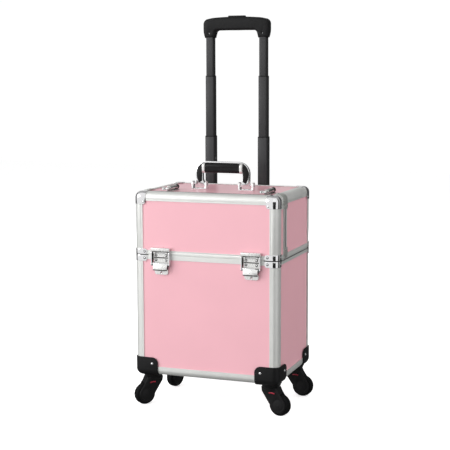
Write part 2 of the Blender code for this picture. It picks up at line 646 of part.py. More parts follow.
# ---- casters -----------------------------------------------------------------------------------
def corner_housing(x, y):
    """A plastic corner with a lobe on each face and, under it, the round column of the caster."""
    sign_x = 1 if x > 0 else -1
    sign_y = -1 if y < DEPTH / 2 else 1
    face_y = 0.0 if sign_y < 0 else DEPTH
    grow = GAP + HOUSING_WALL
    top = HOUSING_HEIGHT + 2 * FAR
    below = -3 * FAR
    shell = case_block(grow, -grow, top, ("+z",))
    shell = cut(shell, case_block(GAP, -GAP, top + FAR, ("+z",)))
    side_x = sorted((sign_x * (WIDTH / 2 - HOUSING_LOBE), sign_x * (WIDTH / 2 + 3 * FAR)))
    side_y = sorted((face_y - sign_y * HOUSING_LOBE, face_y + sign_y * 3 * FAR))
    front = rounded_rectangle((side_x[0], below), (side_x[1], HOUSING_HEIGHT), HOUSING_CORNER)
    flank = rounded_rectangle((side_y[0], below), (side_y[1], HOUSING_HEIGHT), HOUSING_CORNER)
    shell = keep(shell, prism(front, "y", -5 * FAR, DEPTH + 5 * FAR), prism(flank, "x", -WIDTH, WIDTH))
    low_radius, high_radius = COLUMN_RADII
    column = rod((x, y), "z", HOUSING_BASE, -GAP - 0.001, low_radius, 28, end_radius=high_radius)
    bore = rod((x, y), "z", HOUSING_BASE - FAR, -0.0022, STEM_RADIUS + 0.0004, 16)
    return cut(join(shell, column), bore)


def caster_fork():
    """Built about the swivel axis, with the wheel trailing along +x."""
    top = HOUSING_BASE - 0.0004
    shoulder = top - 0.006
    wheel = (CASTER_TRAIL, WHEEL_Z)
    side = [(FORK_NECK, top), (-FORK_NECK, top), (-FORK_NECK, shoulder)]
    side += arc(wheel, FORK_DISC, 215, 400, 14)
    side += [(FORK_NECK + 0.002, shoulder)]
    fork = prism(side, "y", -FORK_HALF, FORK_HALF)
    fork = keep(fork, rod((0.0095, 0.0), "z", WHEEL_Z - 3 * FAR, 0.0, 0.0325, 32))
    fork = join(fork, rod((0.0, 0.0), "z", top - 0.005, top, FORK_NECK + 0.0002, 28))
    stem = rod((0.0, 0.0), "z", top - 0.002, -0.0030, STEM_RADIUS, 16)
    clear = WHEEL_WIDTH / 2 + 0.0005
    room = rod(wheel, "y", -clear, clear, WHEEL_RADIUS + 0.0015, 28)
    axle = rod(wheel, "y", 0.001 - FORK_HALF, FORK_HALF - 0.001, AXLE_RADIUS, 12)
    return join(cut(join(fork, stem), room), axle)


def caster_wheel():
    """A turned wheel with a rounded tread, about the wheel's own axle along +y."""
    half = WHEEL_WIDTH / 2
    tread = 0.0048
    wall = 0.0195
    shoulder = (WHEEL_RADIUS - 0.0016, half - 0.0012)
    profile = [(WHEEL_BORE, half), (wall, half), shoulder, (WHEEL_RADIUS, tread), (WHEEL_RADIUS, -tread),
               (shoulder[0], -shoulder[1]), (wall, -half), (WHEEL_BORE, -half)]
    bm = bmesh.new()
    rings = []
    for step in range(WHEEL_SIDES):
        angle = 2 * math.pi * (step + 0.5) / WHEEL_SIDES - math.pi / 2
        ring = [bm.verts.new((r * math.cos(angle), across, r * math.sin(angle))) for r, across in profile]
        rings.append(ring)
    for here, there in zip(rings, rings[1:] + rings[:1]):
        for i in range(len(profile)):
            j = (i + 1) % len(profile)
            bm.faces.new((here[i], here[j], there[j], there[i]))
    return to_mesh(bm)


def build_casters(lower, root):
    for label, (x, y, degrees) in CASTERS.items():
        piece("corner_housing_" + label, corner_housing(x, y), "black_plastic", lower)
        swivel = carrier("swivel_" + label, (x, y, 0.0), root, math.radians(degrees))
        piece("caster_fork_" + label, caster_fork(), "black_plastic", swivel, local=True)
        hub = bpy.data.objects.new("hub_" + label, None)
        bpy.context.scene.collection.objects.link(hub)
        hub.parent = swivel
        hub.location = (CASTER_TRAIL, 0.0, WHEEL_Z)
        hub.empty_display_size = 0.02
        piece("caster_wheel_" + label, caster_wheel(), "wheel_rubber", hub, local=True)


# ---- tray --------------------------------------------------------------------------------------
def build_tray(body):
    """A lift-out tray with two dividers, under the rim of the lower case."""
    side, end = TRAY_MARGIN
    half_x, front, rear = WIDTH / 2 - side, end, DEPTH - end
    low, high = TRAY_LEVELS
    tray = block((-half_x, front, low), (half_x, rear, high), 0.004, flat=("+z",), steps=2)
    splits = (-half_x, *TRAY_DIVIDERS, half_x)
    for start, stop in zip(splits, splits[1:]):
        left = start + (TRAY_WALL if start == -half_x else TRAY_WALL / 2)
        right = stop - (TRAY_WALL if stop == half_x else TRAY_WALL / 2)
        well = block((left, front + TRAY_WALL, low + TRAY_WALL), (right, rear - TRAY_WALL, high + FAR))
        tray = cut(tray, well)
    piece("lift_tray", tray, "black_plastic", body)


def build():
    clear_scene()
    root = carrier("case_frame", (0.0, 0.0, 0.0))
    root.location = CASE_OFFSET
    upper = carrier("carry_case_lift", (0.0, 0.0, SEAM), root)
    flap = carrier("flap_hinge", (0.0, HINGE_Y, HINGE_Z), upper)
    build_lower_case(root)
    build_upper_case(upper)
    build_flap(flap)
    for label, x in zip(("left", "right"), LATCH_X):
        pivot = carrier("latch_pivot_" + label, (x, *LATCH_PIVOT), flap)
        build_latch(label, x, root, flap, pivot)
    handle = carrier("handle_pivot", (HANDLE_X, HANDLE_Y, HEIGHT + HANDLE_RISE), upper)
    build_handle(upper, handle)
    for label, x in zip(("left", "right"), STRAP_X):
        pivot = carrier("strap_pivot_" + label, (x, STRAP_FRONT, HEIGHT + STRAP_RISE), upper)
        build_strap_eye(label, x, upper, pivot)
    stage3 = carrier("trolley_stage3", (TROLLEY_X, TROLLEY_Y, STAGE_TOPS[2]), root)
    stage2 = carrier("trolley_stage2", (TROLLEY_X, TROLLEY_Y, STAGE_TOPS[1]), stage3)
    stage1 = carrier("trolley_stage1", (TROLLEY_X, TROLLEY_Y, STAGE_TOPS[0]), stage2)
    button = carrier("trolley_button_slide", (TROLLEY_X, TROLLEY_Y, BUTTON_LEVELS[0]), stage1)
    build_trolley(root, (stage1, stage2, stage3), button)
    build_casters(root, root)
    tray = carrier("tray_lift", (0.0, DEPTH / 2, TRAY_LEVELS[0]), root)
    build_tray(tray)


build()
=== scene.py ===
"""Looks of the rolling makeup case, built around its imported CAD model.

Every shape below is written in the case frame, in metres: x = 0 in the middle of the case, y = 0 on its
front face (+y to the rear) and z = 0 on its underside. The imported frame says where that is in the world.
"""
import json
import math

import bmesh
import bpy
from mathutils import Matrix, Vector, noise


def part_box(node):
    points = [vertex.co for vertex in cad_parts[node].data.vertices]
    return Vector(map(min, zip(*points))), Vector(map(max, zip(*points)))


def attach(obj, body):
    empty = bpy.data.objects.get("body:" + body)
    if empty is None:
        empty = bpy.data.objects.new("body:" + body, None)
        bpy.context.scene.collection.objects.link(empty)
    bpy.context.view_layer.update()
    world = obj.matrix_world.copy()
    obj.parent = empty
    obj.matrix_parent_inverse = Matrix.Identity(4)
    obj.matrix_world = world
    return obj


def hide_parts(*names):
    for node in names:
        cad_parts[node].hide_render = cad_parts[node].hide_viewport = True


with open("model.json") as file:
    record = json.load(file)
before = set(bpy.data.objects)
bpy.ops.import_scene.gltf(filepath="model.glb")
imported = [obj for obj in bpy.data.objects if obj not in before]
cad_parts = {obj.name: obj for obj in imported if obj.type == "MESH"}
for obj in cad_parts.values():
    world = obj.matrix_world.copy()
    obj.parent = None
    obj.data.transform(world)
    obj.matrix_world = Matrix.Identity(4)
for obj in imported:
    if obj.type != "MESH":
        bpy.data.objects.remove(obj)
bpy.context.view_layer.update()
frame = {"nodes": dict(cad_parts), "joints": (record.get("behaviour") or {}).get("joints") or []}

# ---- places and sizes, read from the frame ----------------------------------------------------------
LOWER_LOW, LOWER_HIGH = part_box("lower_frame")
ORIGIN = Vector(((LOWER_LOW.x + LOWER_HIGH.x) / 2, LOWER_LOW.y, LOWER_LOW.z))
HALF = (LOWER_HIGH.x - LOWER_LOW.x) / 2
DEPTH = LOWER_HIGH.y - LOWER_LOW.y
LOWER_TOP = LOWER_HIGH.z - LOWER_LOW.z
UPPER_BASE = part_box("upper_frame")[0].z - ORIGIN.z
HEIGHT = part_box("upper_frame")[1].z - ORIGIN.z
SEAM = (LOWER_TOP + UPPER_BASE) / 2
FLAP_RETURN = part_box("flap_frame")[1].y - ORIGIN.y

EDGE_RADIUS = 0.013
SKIN = 0.0015
BOARD = 0.004
GAP = 0.0003
RAIL = 0.020
SEAM_RAIL = 0.0105
SHOULDER = 0.3972
RAIL_END = 0.0195
TOP_FRONT = 0.0241
SIDE_RAIL = 0.012
FACE = SKIN + GAP
FAR = 0.01
ROUND_STEPS = 9

JOINTS = {joint["name"]: joint for joint in frame["joints"]}
SIDES = (("left", -1), ("right", 1))
CORNERS = ("front_left", "front_right", "rear_left", "rear_right")


def joint_spot(name):
    return Vector(JOINTS[name]["pos_m"]) - ORIGIN


def box_spot(node):
    low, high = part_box(node)
    return low - ORIGIN, high - ORIGIN


# ---- mesh helpers -----------------------------------------------------------------------------------
def to_mesh(bm):
    bmesh.ops.recalc_face_normals(bm, faces=bm.faces)
    mesh = bpy.data.meshes.new("shape")
    bm.to_mesh(mesh)
    bm.free()
    return mesh


def block(low, high, radius=0.0, flat=(), steps=4):
    """A box whose edges are rounded, but for those that lie in a flat side such as '+z'."""
    bm = bmesh.new()
    bmesh.ops.create_cube(bm, size=1.0)
    low, high = Vector(low), Vector(high)
    bmesh.ops.scale(bm, vec=high - low, verts=bm.verts)
    bmesh.ops.translate(bm, vec=(low + high) / 2, verts=bm.verts)
    if radius:
        sharp = set()
        for side in flat:
            axis = "xyz".index(side[1])
            level = high[axis] if side[0] == "+" else low[axis]
            for edge in bm.edges:
                if all(abs(vert.co[axis] - level) < 1e-6 for vert in edge.verts):
                    sharp.add(edge)
        rounded = [edge for edge in bm.edges if edge not in sharp]
        bmesh.ops.bevel(bm, geom=rounded, offset=radius, segments=steps, profile=0.5, affect="EDGES")
    return to_mesh(bm)


def prism(outline, axis, start, end):
    """An outline of (a, b) points pushed along an axis: (y, z) for x, (x, z) for y, (x, y) for z."""
    places = {"x": (1, 2, 0), "y": (0, 2, 1), "z": (0, 1, 2)}[axis]
    bm = bmesh.new()
    verts = []
    for point in outline:
        spot = [0.0, 0.0, 0.0]
        spot[places[0]], spot[places[1]], spot[places[2]] = point[0], point[1], start
        verts.append(bm.verts.new(spot))
    face = bm.faces.new(verts)
    push = [0.0, 0.0, 0.0]
    push[places[2]] = end - start
    grown = bmesh.ops.extrude_face_region(bm, geom=[face])
    moved = [item for item in grown["geom"] if isinstance(item, bmesh.types.BMVert)]
    bmesh.ops.translate(bm, vec=push, verts=moved)
    return to_mesh(bm)


def rims_rounded(mesh, axis, radius, steps=4):
    """Rounds the two end rims of a prism along an axis."""
    index = "xyz".index(axis)
    bm = bmesh.new()
    bm.from_mesh(mesh)
    rims = [edge for edge in bm.edges if abs(edge.verts[0].co[index] - edge.verts[1].co[index]) < 1e-6]
    bmesh.ops.bevel(bm, geom=rims, offset=radius, segments=steps, profile=0.5, affect="EDGES")
    return to_mesh(bm)


def turned(profile, centre, direction, steps=32):
    """A solid of revolution: (radius, along) points about a line through centre; ends on the axis close."""
    bm = bmesh.new()
    rings = []
    for radius, along in profile:
        if radius < 1e-7:
            rings.append([bm.verts.new((0.0, 0.0, along))])
            continue
        ring = []
        for step in range(steps):
            angle = 2 * math.pi * step / steps
            ring.append(bm.verts.new((radius * math.cos(angle), radius * math.sin(angle), along)))
        rings.append(ring)
    pairs = list(zip(rings, rings[1:]))
    if len(rings[0]) > 1 and len(rings[-1]) > 1:
        pairs.append((rings[-1], rings[0]))
    for here, there in pairs:
        for step in range(steps):
            after = (step + 1) % steps
            loop = []
            for ring, spot in ((here, step), (here, after), (there, after), (there, step)):
                vert = ring[spot % len(ring)] if len(ring) > 1 else ring[0]
                if vert not in loop:
                    loop.append(vert)
            bm.faces.new(loop)
    turn = Vector(direction).to_track_quat("Z", "Y").to_matrix().to_4x4()
    bmesh.ops.transform(bm, matrix=Matrix.Translation(centre) @ turn, verts=bm.verts)
    return to_mesh(bm)


def rod(centre, direction, start, end, radius, soft=0.0003, steps=32):
    """A round bar along a direction, its rims softened."""
    profile = [(0.0, start), (radius - soft, start), (radius, start + soft),
               (radius, end - soft), (radius - soft, end), (0.0, end)]
    return turned(profile, centre, direction, steps)


def arc(centre, radius, start, end, steps):
    """Points on an arc in degrees, both ends included."""
    angles = [math.radians(start + (end - start) * i / steps) for i in range(steps + 1)]
    return [(centre[0] + radius * math.cos(a), centre[1] + radius * math.sin(a)) for a in angles]


def rounded_rectangle(low, high, radius, steps=6):
    left, bottom = low[0] + radius, low[1] + radius
    right, top = high[0] - radius, high[1] - radius
    points = arc((right, bottom), radius, -90, 0, steps) + arc((right, top), radius, 0, 90, steps)
    return points + arc((left, top), radius, 90, 180, steps) + arc((left, bottom), radius, 180, 270, steps)


def combine(body, tool, operation):
    body_object = bpy.data.objects.new("body", body)
    tool_object = bpy.data.objects.new("tool", tool)
    for item in (body_object, tool_object):
        bpy.context.scene.collection.objects.link(item)
    modifier = body_object.modifiers.new("combine", "BOOLEAN")
    modifier.object = tool_object
    modifier.operation = operation
    modifier.solver = "EXACT"
    depsgraph = bpy.context.evaluated_depsgraph_get()
    result = bpy.data.meshes.new_from_object(body_object.evaluated_get(depsgraph))
    bpy.data.objects.remove(body_object)
    bpy.data.objects.remove(tool_object)
    return result


def cut(body, *tools):
    for tool in tools:
        body = combine(body, tool, "DIFFERENCE")
    return body


def join(body, *tools):
    for tool in tools:
        body = combine(body, tool, "UNION")
    return body


def keep(body, *tools):
    for tool in tools:
        body = combine(body, tool, "INTERSECT")
    return body


def gather(*meshes):
    """Several meshes as one, side by side."""
    bm = bmesh.new()
    for mesh in meshes:
        bm.from_mesh(mesh)
    result = bpy.data.meshes.new("shape")
    bm.to_mesh(result)
    bm.free()
    return result


def softened(mesh, width, steps=2, angle=35):
    """Rounds every sharp edge of a mesh by a small bevel."""
    item = bpy.data.objects.new("soft", mesh)
    bpy.context.scene.collection.objects.link(item)
    modifier = item.modifiers.new("soften", "BEVEL")
    modifier.width = width
    modifier.segments = steps
    modifier.limit_method = "ANGLE"
    modifier.angle_limit = math.radians(angle)
    modifier.use_clamp_overlap = True
    depsgraph = bpy.context.evaluated_depsgraph_get()
    result = bpy.data.meshes.new_from_object(item.evaluated_get(depsgraph))
    bpy.data.objects.remove(item)
    return result


def show(name, mesh, material, body, stands_for=(), sharp=40):
    """Places a finished mesh, written in the case frame, on a body of the frame."""
    mesh.transform(Matrix.Translation(ORIGIN))
    mesh.name = name
    mesh.materials.clear()
    mesh.materials.append(material)
    mesh.shade_smooth()
    mesh.set_sharp_from_angle(angle=math.radians(sharp))
    item = bpy.data.objects.new(name, mesh)
    bpy.context.scene.collection.objects.link(item)
    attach(item, body)
    if stands_for:
        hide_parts(*stands_for)
    return item


# ---- materials --------------------------------------------------------------------------------------
def srgb(red, green, blue):
    """A display colour from 0 to 255 as the linear colour that shaders use."""
    def linear(value):
        value /= 255
        return value / 12.92 if value <= 0.04045 else ((value + 0.055) / 1.055) ** 2.4
    return (linear(red), linear(green), linear(blue), 1.0)


class Finish:
    """A Principled material, and the texture nodes that vary its colour, roughness and relief."""

    def __init__(self, name, colour, roughness, metallic=0.0, **sockets):
        self.material = bpy.data.materials.new(name)
        self.material.use_nodes = True
        self.tree = self.material.node_tree
        self.shader = self.tree.nodes["Principled BSDF"]
        self.colour = colour
        self.roughness = roughness
        self.relief = None
        self.shader.inputs["Base Color"].default_value = colour
        self.shader.inputs["Roughness"].default_value = roughness
        self.shader.inputs["Metallic"].default_value = metallic
        for socket, value in sockets.items():
            self.shader.inputs[socket.replace("_", " ")].default_value = value
        self.place = self.tree.nodes.new("ShaderNodeTexCoord").outputs["Object"]

    def grain(self, scale, detail=3.0, stretch=(1, 1, 1), rough=0.5):
        """A noise from 0 to 1, about scale bumps in a metre, stretched along the axes."""
        mapping = self.tree.nodes.new("ShaderNodeMapping")
        mapping.inputs["Scale"].default_value = stretch
        texture = self.tree.nodes.new("ShaderNodeTexNoise")
        texture.inputs["Scale"].default_value = scale
        texture.inputs["Detail"].default_value = detail
        texture.inputs["Roughness"].default_value = rough
        self.tree.links.new(self.place, mapping.inputs["Vector"])
        self.tree.links.new(mapping.outputs["Vector"], texture.inputs["Vector"])
        return texture.outputs["Fac"]

    def cells(self, scale):
        texture = self.tree.nodes.new("ShaderNodeTexVoronoi")
        texture.inputs["Scale"].default_value = scale
        self.tree.links.new(self.place, texture.inputs["Vector"])
        return texture.outputs["Distance"]

    def weave(self, scale):
        """Two crossed sets of threads, higher where a thread passes over."""
        waves = []
        for direction in ("X", "Z"):
            wave = self.tree.nodes.new("ShaderNodeTexWave")
            wave.bands_direction = direction
            wave.inputs["Scale"].default_value = scale
            wave.inputs["Distortion"].default_value = 0.6
            self.tree.links.new(self.place, wave.inputs["Vector"])
            waves.append(wave.outputs["Fac"])
        mix = self.tree.nodes.new("ShaderNodeMath")
        mix.operation = "MULTIPLY"
        self.tree.links.new(waves[0], mix.inputs[0])
        self.tree.links.new(waves[1], mix.inputs[1])
        return mix.outputs["Value"]

    def tint(self, factor, dark, light):
        """Base colour between two multiples of the finish's own colour."""
        ramp = self.tree.nodes.new("ShaderNodeValToRGB")
        ramp.color_ramp.elements[0].position = 0.25
        ramp.color_ramp.elements[1].position = 0.75
        for element, share in zip(ramp.color_ramp.elements, (dark, light)):
            element.color = (*[min(1.0, part * share) for part in self.colour[:3]], 1.0)
        self.tree.links.new(factor, ramp.inputs["Fac"])
        self.tree.links.new(ramp.outputs["Color"], self.shader.inputs["Base Color"])

    def polish(self, factor, low, high):
        """Roughness between two values."""
        spread = self.tree.nodes.new("ShaderNodeMapRange")
        spread.inputs["From Min"].default_value = 0.3
        spread.inputs["From Max"].default_value = 0.7
        spread.inputs["To Min"].default_value = low
        spread.inputs["To Max"].default_value = high
        self.tree.links.new(factor, spread.inputs["Value"])
        self.tree.links.new(spread.outputs["Result"], self.shader.inputs["Roughness"])

    def emboss(self, height, strength, distance):
        """Relief, laid over any relief added before it."""
        bump = self.tree.nodes.new("ShaderNodeBump")
        bump.inputs["Strength"].default_value = strength
        bump.inputs["Distance"].default_value = distance
        self.tree.links.new(height, bump.inputs["Height"])
        if self.relief:
            self.tree.links.new(self.relief, bump.inputs["Normal"])
        self.relief = bump.outputs["Normal"]
        self.tree.links.new(self.relief, self.shader.inputs["Normal"])


def pink_laminate():
    finish = Finish("pink_laminate", srgb(247, 188, 198), 0.42, Specular_IOR_Level=0.4)
    finish.tint(finish.grain(9, 2), 0.975, 1.015)
    finish.polish(finish.grain(60, 4), 0.30, 0.36)
    finish.emboss(finish.grain(900, 3), 0.04, 0.0002)
    finish.emboss(finish.grain(14, 1), 0.04, 0.001)
    return finish.material


def anodised_rail():
    finish = Finish("anodised_rail", srgb(225, 226, 223), 0.46, 0.58)
    finish.tint(finish.grain(35, 4), 0.96, 1.02)
    finish.polish(finish.grain(120, 5), 0.42, 0.54)
    finish.emboss(finish.grain(2600, 2), 0.06, 0.0001)
    return finish.material


def bright_chrome():
    finish = Finish("bright_chrome", srgb(240, 240, 241), 0.08, 1.0)
    finish.tint(finish.grain(50, 3), 0.96, 1.0)
    finish.polish(finish.grain(170, 4), 0.05, 0.15)
    finish.emboss(finish.grain(90, 2), 0.03, 0.0005)
    return finish.material


def polished_chrome():
    finish = Finish("polished_chrome", srgb(250, 250, 250), 0.16, 0.86)
    finish.tint(finish.grain(50, 3), 0.97, 1.0)
    finish.polish(finish.grain(170, 4), 0.12, 0.22)
    finish.emboss(finish.grain(90, 2), 0.03, 0.0005)
    return finish.material


def brushed_nickel():
    finish = Finish("brushed_nickel", srgb(232, 232, 230), 0.3, 0.75)
    finish.tint(finish.grain(60, 3), 0.96, 1.0)
    finish.polish(finish.grain(200, 4, (6, 1, 1)), 0.24, 0.36)
    finish.emboss(finish.grain(1800, 2, (0.2, 1, 1)), 0.03, 0.00005)
    return finish.material


def plated_steel():
    finish = Finish("plated_steel", srgb(214, 213, 211), 0.24, 1.0)
    finish.tint(finish.grain(70, 4), 0.92, 1.02)
    finish.polish(finish.grain(260, 4, (1, 1, 6)), 0.14, 0.28)
    finish.emboss(finish.grain(2400, 2, (1, 1, 6)), 0.02, 0.00004)
    return finish.material


def satin_plate():
    finish = Finish("satin_plate", srgb(186, 189, 184), 0.42, 0.6)
    finish.tint(finish.grain(120, 4), 0.92, 1.05)
    finish.polish(finish.grain(300, 4), 0.34, 0.5)
    finish.emboss(finish.grain(1200, 3), 0.05, 0.0001)
    return finish.material


def dull_grey_metal():
    finish = Finish("dull_grey_metal", srgb(150, 150, 150), 0.36, 1.0)
    finish.tint(finish.grain(120, 4), 0.85, 1.08)
    finish.polish(finish.grain(300, 4), 0.28, 0.48)
    finish.emboss(finish.grain(1200, 3), 0.08, 0.0001)
    return finish.material


def black_plastic():
    finish = Finish("black_plastic", srgb(16, 16, 17), 0.42, Specular_IOR_Level=0.2)
    finish.tint(finish.grain(40, 3), 0.85, 1.25)
    finish.polish(finish.grain(200, 4), 0.36, 0.52)
    finish.emboss(finish.cells(1500), 0.16, 0.00015)
    return finish.material


def dark_anodised_tube():
    finish = Finish("dark_anodised_tube", srgb(60, 60, 61), 0.36, 0.75)
    finish.tint(finish.grain(60, 3, (1, 1, 0.05)), 0.88, 1.08)
    finish.polish(finish.grain(240, 4, (1, 1, 0.04)), 0.30, 0.46)
    finish.emboss(finish.grain(1400, 2, (1, 1, 0.02)), 0.08, 0.0001)
    return finish.material


def wheel_rubber():
    finish = Finish("wheel_rubber", srgb(9, 9, 10), 0.5, Specular_IOR_Level=0.12)
    finish.tint(finish.grain(120, 4), 0.8, 1.5)
    finish.polish(finish.grain(160, 4), 0.46, 0.68)
    finish.emboss(finish.grain(1800, 3), 0.12, 0.0001)
    return finish.material


def red_plastic():
    finish = Finish("red_plastic", srgb(176, 18, 52), 0.35)
    finish.tint(finish.grain(300, 3), 0.85, 1.1)
    finish.emboss(finish.grain(2000, 2), 0.08, 0.0001)
    return finish.material


def lining_cloth():
    finish = Finish("lining_cloth", srgb(24, 24, 26), 0.9, Sheen_Weight=0.25, Sheen_Roughness=0.5)
    finish.tint(finish.grain(90, 4), 0.75, 1.4)
    finish.emboss(finish.weave(420), 0.35, 0.0003)
    return finish.material


MATERIALS = {
    "pink": pink_laminate(), "rail": anodised_rail(), "chrome": bright_chrome(), "steel": plated_steel(),
    "plate": satin_plate(), "nickel": brushed_nickel(), "grey": dull_grey_metal(), "black": black_plastic(), "tube": dark_anodised_tube(),
    "bright": polished_chrome(), "rubber": wheel_rubber(), "red": red_plastic(), "lining": lining_cloth(),
}


# ---- casework ---------------------------------------------------------------------------------------
def case_block(grow, bottom, top, flat):
    """The outer form of the case between two levels, grown or shrunk all round."""
    low = (-HALF - grow, -grow, bottom)
    high = (HALF + grow, DEPTH + grow, top)
    return block(low, high, EDGE_RADIUS + grow, flat=flat, steps=ROUND_STEPS)


def window_groove(axis, low, high, surface, inset=0.0028, width=0.0007, depth=0.0004):
    """A thin frame that cuts a decorative line into a rail, just outside a window."""
    start, end = surface - depth, surface + depth
    outer = rounded_rectangle((low[0] - inset - width, low[1] - inset - width),
                              (high[0] + inset + width, high[1] + inset + width), 0.0012, 2)
    inner = rounded_rectangle((low[0] - inset, low[1] - inset), (high[0] + inset, high[1] + inset), 0.0006, 2)
    return cut(prism(outer, axis, start, end), prism(inner, axis, start - FAR, end + FAR))


def lower_rails():
    shell = case_block(0.0, 0.0, LOWER_TOP, ("+z",))
    shell = cut(shell, case_block(-SKIN, SKIN, LOWER_TOP + FAR, ("+z",)))
    top = SEAM - SEAM_RAIL
    wide, deep = HALF - RAIL, DEPTH - RAIL
    shell = cut(shell, block((-wide, -FAR, RAIL), (wide, DEPTH + FAR, top)))
    shell = cut(shell, block((-HALF - FAR, RAIL, RAIL), (HALF + FAR, deep, top)))
    shell = cut(shell, block((-wide, RAIL, -FAR), (wide, deep, FAR)))
    for surface in (0.0, DEPTH):
        shell = cut(shell, window_groove("y", (-wide, RAIL), (wide, top), surface))
    for surface in (-HALF, HALF):
        shell = cut(shell, window_groove("x", (RAIL, RAIL), (deep, top), surface))
    show("lower_rails", softened(shell, 0.0003), MATERIALS["rail"], "lower_case", ["lower_frame"])


def upper_shell():
    shell = case_block(0.0, UPPER_BASE, HEIGHT, ("-z",))
    return cut(shell, case_block(-SKIN, UPPER_BASE - FAR, HEIGHT - SKIN, ("-z",)))


def carry_rails():
    outline = [(FLAP_RETURN + 0.0005, SEAM - FAR), (DEPTH + FAR, SEAM - FAR), (DEPTH + FAR, HEIGHT + FAR),
               (TOP_FRONT, HEIGHT + FAR), (TOP_FRONT, SHOULDER), (FLAP_RETURN + 0.0005, SHOULDER)]
    shell = keep(upper_shell(), prism(outline, "x", -HALF - FAR, HALF + FAR))
    base = SEAM + SEAM_RAIL
    wide, deep = HALF - RAIL, DEPTH - RAIL
    start = FLAP_RETURN + SIDE_RAIL
    shell = cut(shell, block((-HALF - FAR, start, base), (HALF + FAR, deep, SHOULDER)))
    shell = cut(shell, block((-wide, DEPTH - FAR, base), (wide, DEPTH + FAR, HEIGHT - RAIL)))
    shell = cut(shell, block((-wide, 0.0, HEIGHT - FAR), (wide, deep, HEIGHT + FAR)))
    shell = cut(shell, window_groove("y", (-wide, base), (wide, HEIGHT - RAIL), DEPTH))
    for surface in (-HALF, HALF):
        shell = cut(shell, window_groove("x", (start, base), (deep, SHOULDER), surface))
    show("carry_rails", softened(shell, 0.0003), MATERIALS["rail"], "carry_case", ["upper_frame"])


def flap_rails():
    hinge = joint_spot("flap_hinge")
    swing = hinge.z - UPPER_BASE
    stop = math.degrees(math.asin((FLAP_RETURN - hinge.y) / swing))
    outline = [(-FAR, UPPER_BASE)] + arc((hinge.y, hinge.z), swing, -90, -90 + stop, 8)
    outline += [(FLAP_RETURN, SHOULDER - 0.0004), (RAIL_END, SHOULDER - 0.0004)]
    outline += [(RAIL_END, HEIGHT + FAR), (-FAR, HEIGHT + FAR)]
    shell = keep(upper_shell(), prism(outline, "x", -HALF - FAR, HALF + FAR))
    base = SEAM + SEAM_RAIL
    wide = HALF - RAIL
    shell = cut(shell, block((-wide, -FAR, base), (wide, FAR, HEIGHT - RAIL)))
    shell = cut(shell, block((-HALF - FAR, 0.021, base), (HALF + FAR, 0.0375, SHOULDER - 0.0095)))
    shell = cut(shell, window_groove("y", (-wide, base), (wide, HEIGHT - RAIL), 0.0))
    show("flap_rails", softened(shell, 0.0003), MATERIALS["rail"], "flap", ["flap_frame"])


def carried_boards():
    """The pink boards and the rim keep their CAD shape and take the finished materials."""
    for name, node in frame["nodes"].items():
        if name.endswith("_panel"):
            material = MATERIALS["lining"] if "floor" in name and name.startswith("upper") else MATERIALS["pink"]
            set_material(node, material)
    set_material(frame["nodes"]["lower_rim"], MATERIALS["rail"])


def set_material(node, material):
    node.data.materials.clear()
    node.data.materials.append(material)


def linings():
    inside = FACE + BOARD + GAP
    cloth = 0.0007
    low = (inside - HALF, inside, inside)
    high = (HALF - inside, DEPTH - inside, 0.2612)
    outer = block(low, high, 0.006, flat=("+z",), steps=4)
    room = block([v + cloth for v in low], (high[0] - cloth, high[1] - cloth, high[2] + FAR), 0.0055,
                 flat=("+z",), steps=4)
    show("lower_lining", cut(outer, room), MATERIALS["lining"], "lower_case")

    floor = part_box("upper_floor_panel")[1].z - ORIGIN.z + GAP
    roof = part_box("upper_top_panel")[0].z - ORIGIN.z - GAP
    low = (inside - HALF, FLAP_RETURN + 0.002, floor)
    high = (HALF - inside, DEPTH - inside, roof)
    outer = block(low, high, 0.006, flat=("-y",), steps=4)
    room = block((low[0] + cloth, low[1] - FAR, low[2] + cloth), [v - cloth for v in high], 0.0055,
                 flat=("-y",), steps=4)
    show("carry_lining", cut(outer, room), MATERIALS["lining"], "carry_case")

    turn = EDGE_RADIUS - inside
    left, right = EDGE_RADIUS - HALF, HALF - EDGE_RADIUS
    end = FLAP_RETURN - 0.003
    path = [(inside - HALF, end)] + arc((left, EDGE_RADIUS), turn, 180, 270, 6)
    path += arc((right, EDGE_RADIUS), turn, 270, 360, 6) + [(HALF - inside, end)]
    back = [(HALF - inside - cloth, end)] + arc((right, EDGE_RADIUS), turn - cloth, 360, 270, 6)
    back += arc((left, EDGE_RADIUS), turn - cloth, 270, 180, 6) + [(inside + cloth - HALF, end)]
    show("flap_lining", prism(path + back, "z", SEAM + 0.0055, SHOULDER - 0.003), MATERIALS["lining"], "flap")


# ---- fittings ---------------------------------------------------------------------------------------
def dome(spot, direction, radius=0.0023, height=0.0011):
    """A domed rivet head with a small dimple in its middle."""
    profile = [(0.0, height * 0.62), (radius * 0.16, height * 0.66), (radius * 0.30, height * 0.96)]
    profile += [(radius * math.sin(a), height * math.cos(a) * 1.0) for a in (0.45, 0.75, 1.05, 1.3)]
    profile += [(radius, 0.0), (radius * 0.9, -0.0003), (0.0, -0.0003)]
    return turned(profile, spot, direction, 20)


def rivet_shadow_ring(spot, direction, radius=0.0031):
    """A black ring round a rivet's head: painted shadow."""
    profile = [(0.0, 0.00028), (radius - 0.0003, 0.00028), (radius, 0.0), (radius, -0.0002), (0.0, -0.0002)]
    return turned(profile, spot, direction, 24)


def cap_shell(bottom, top, flat, thickness=0.0009, clear=GAP):
    shell = case_block(clear + thickness, bottom, top + (0 if "+z" in flat else clear + thickness), flat)
    inner_top = top + FAR if "+z" in flat else top + clear
    inner_bottom = bottom - FAR
    return cut(shell, case_block(clear, inner_bottom, inner_top, flat))


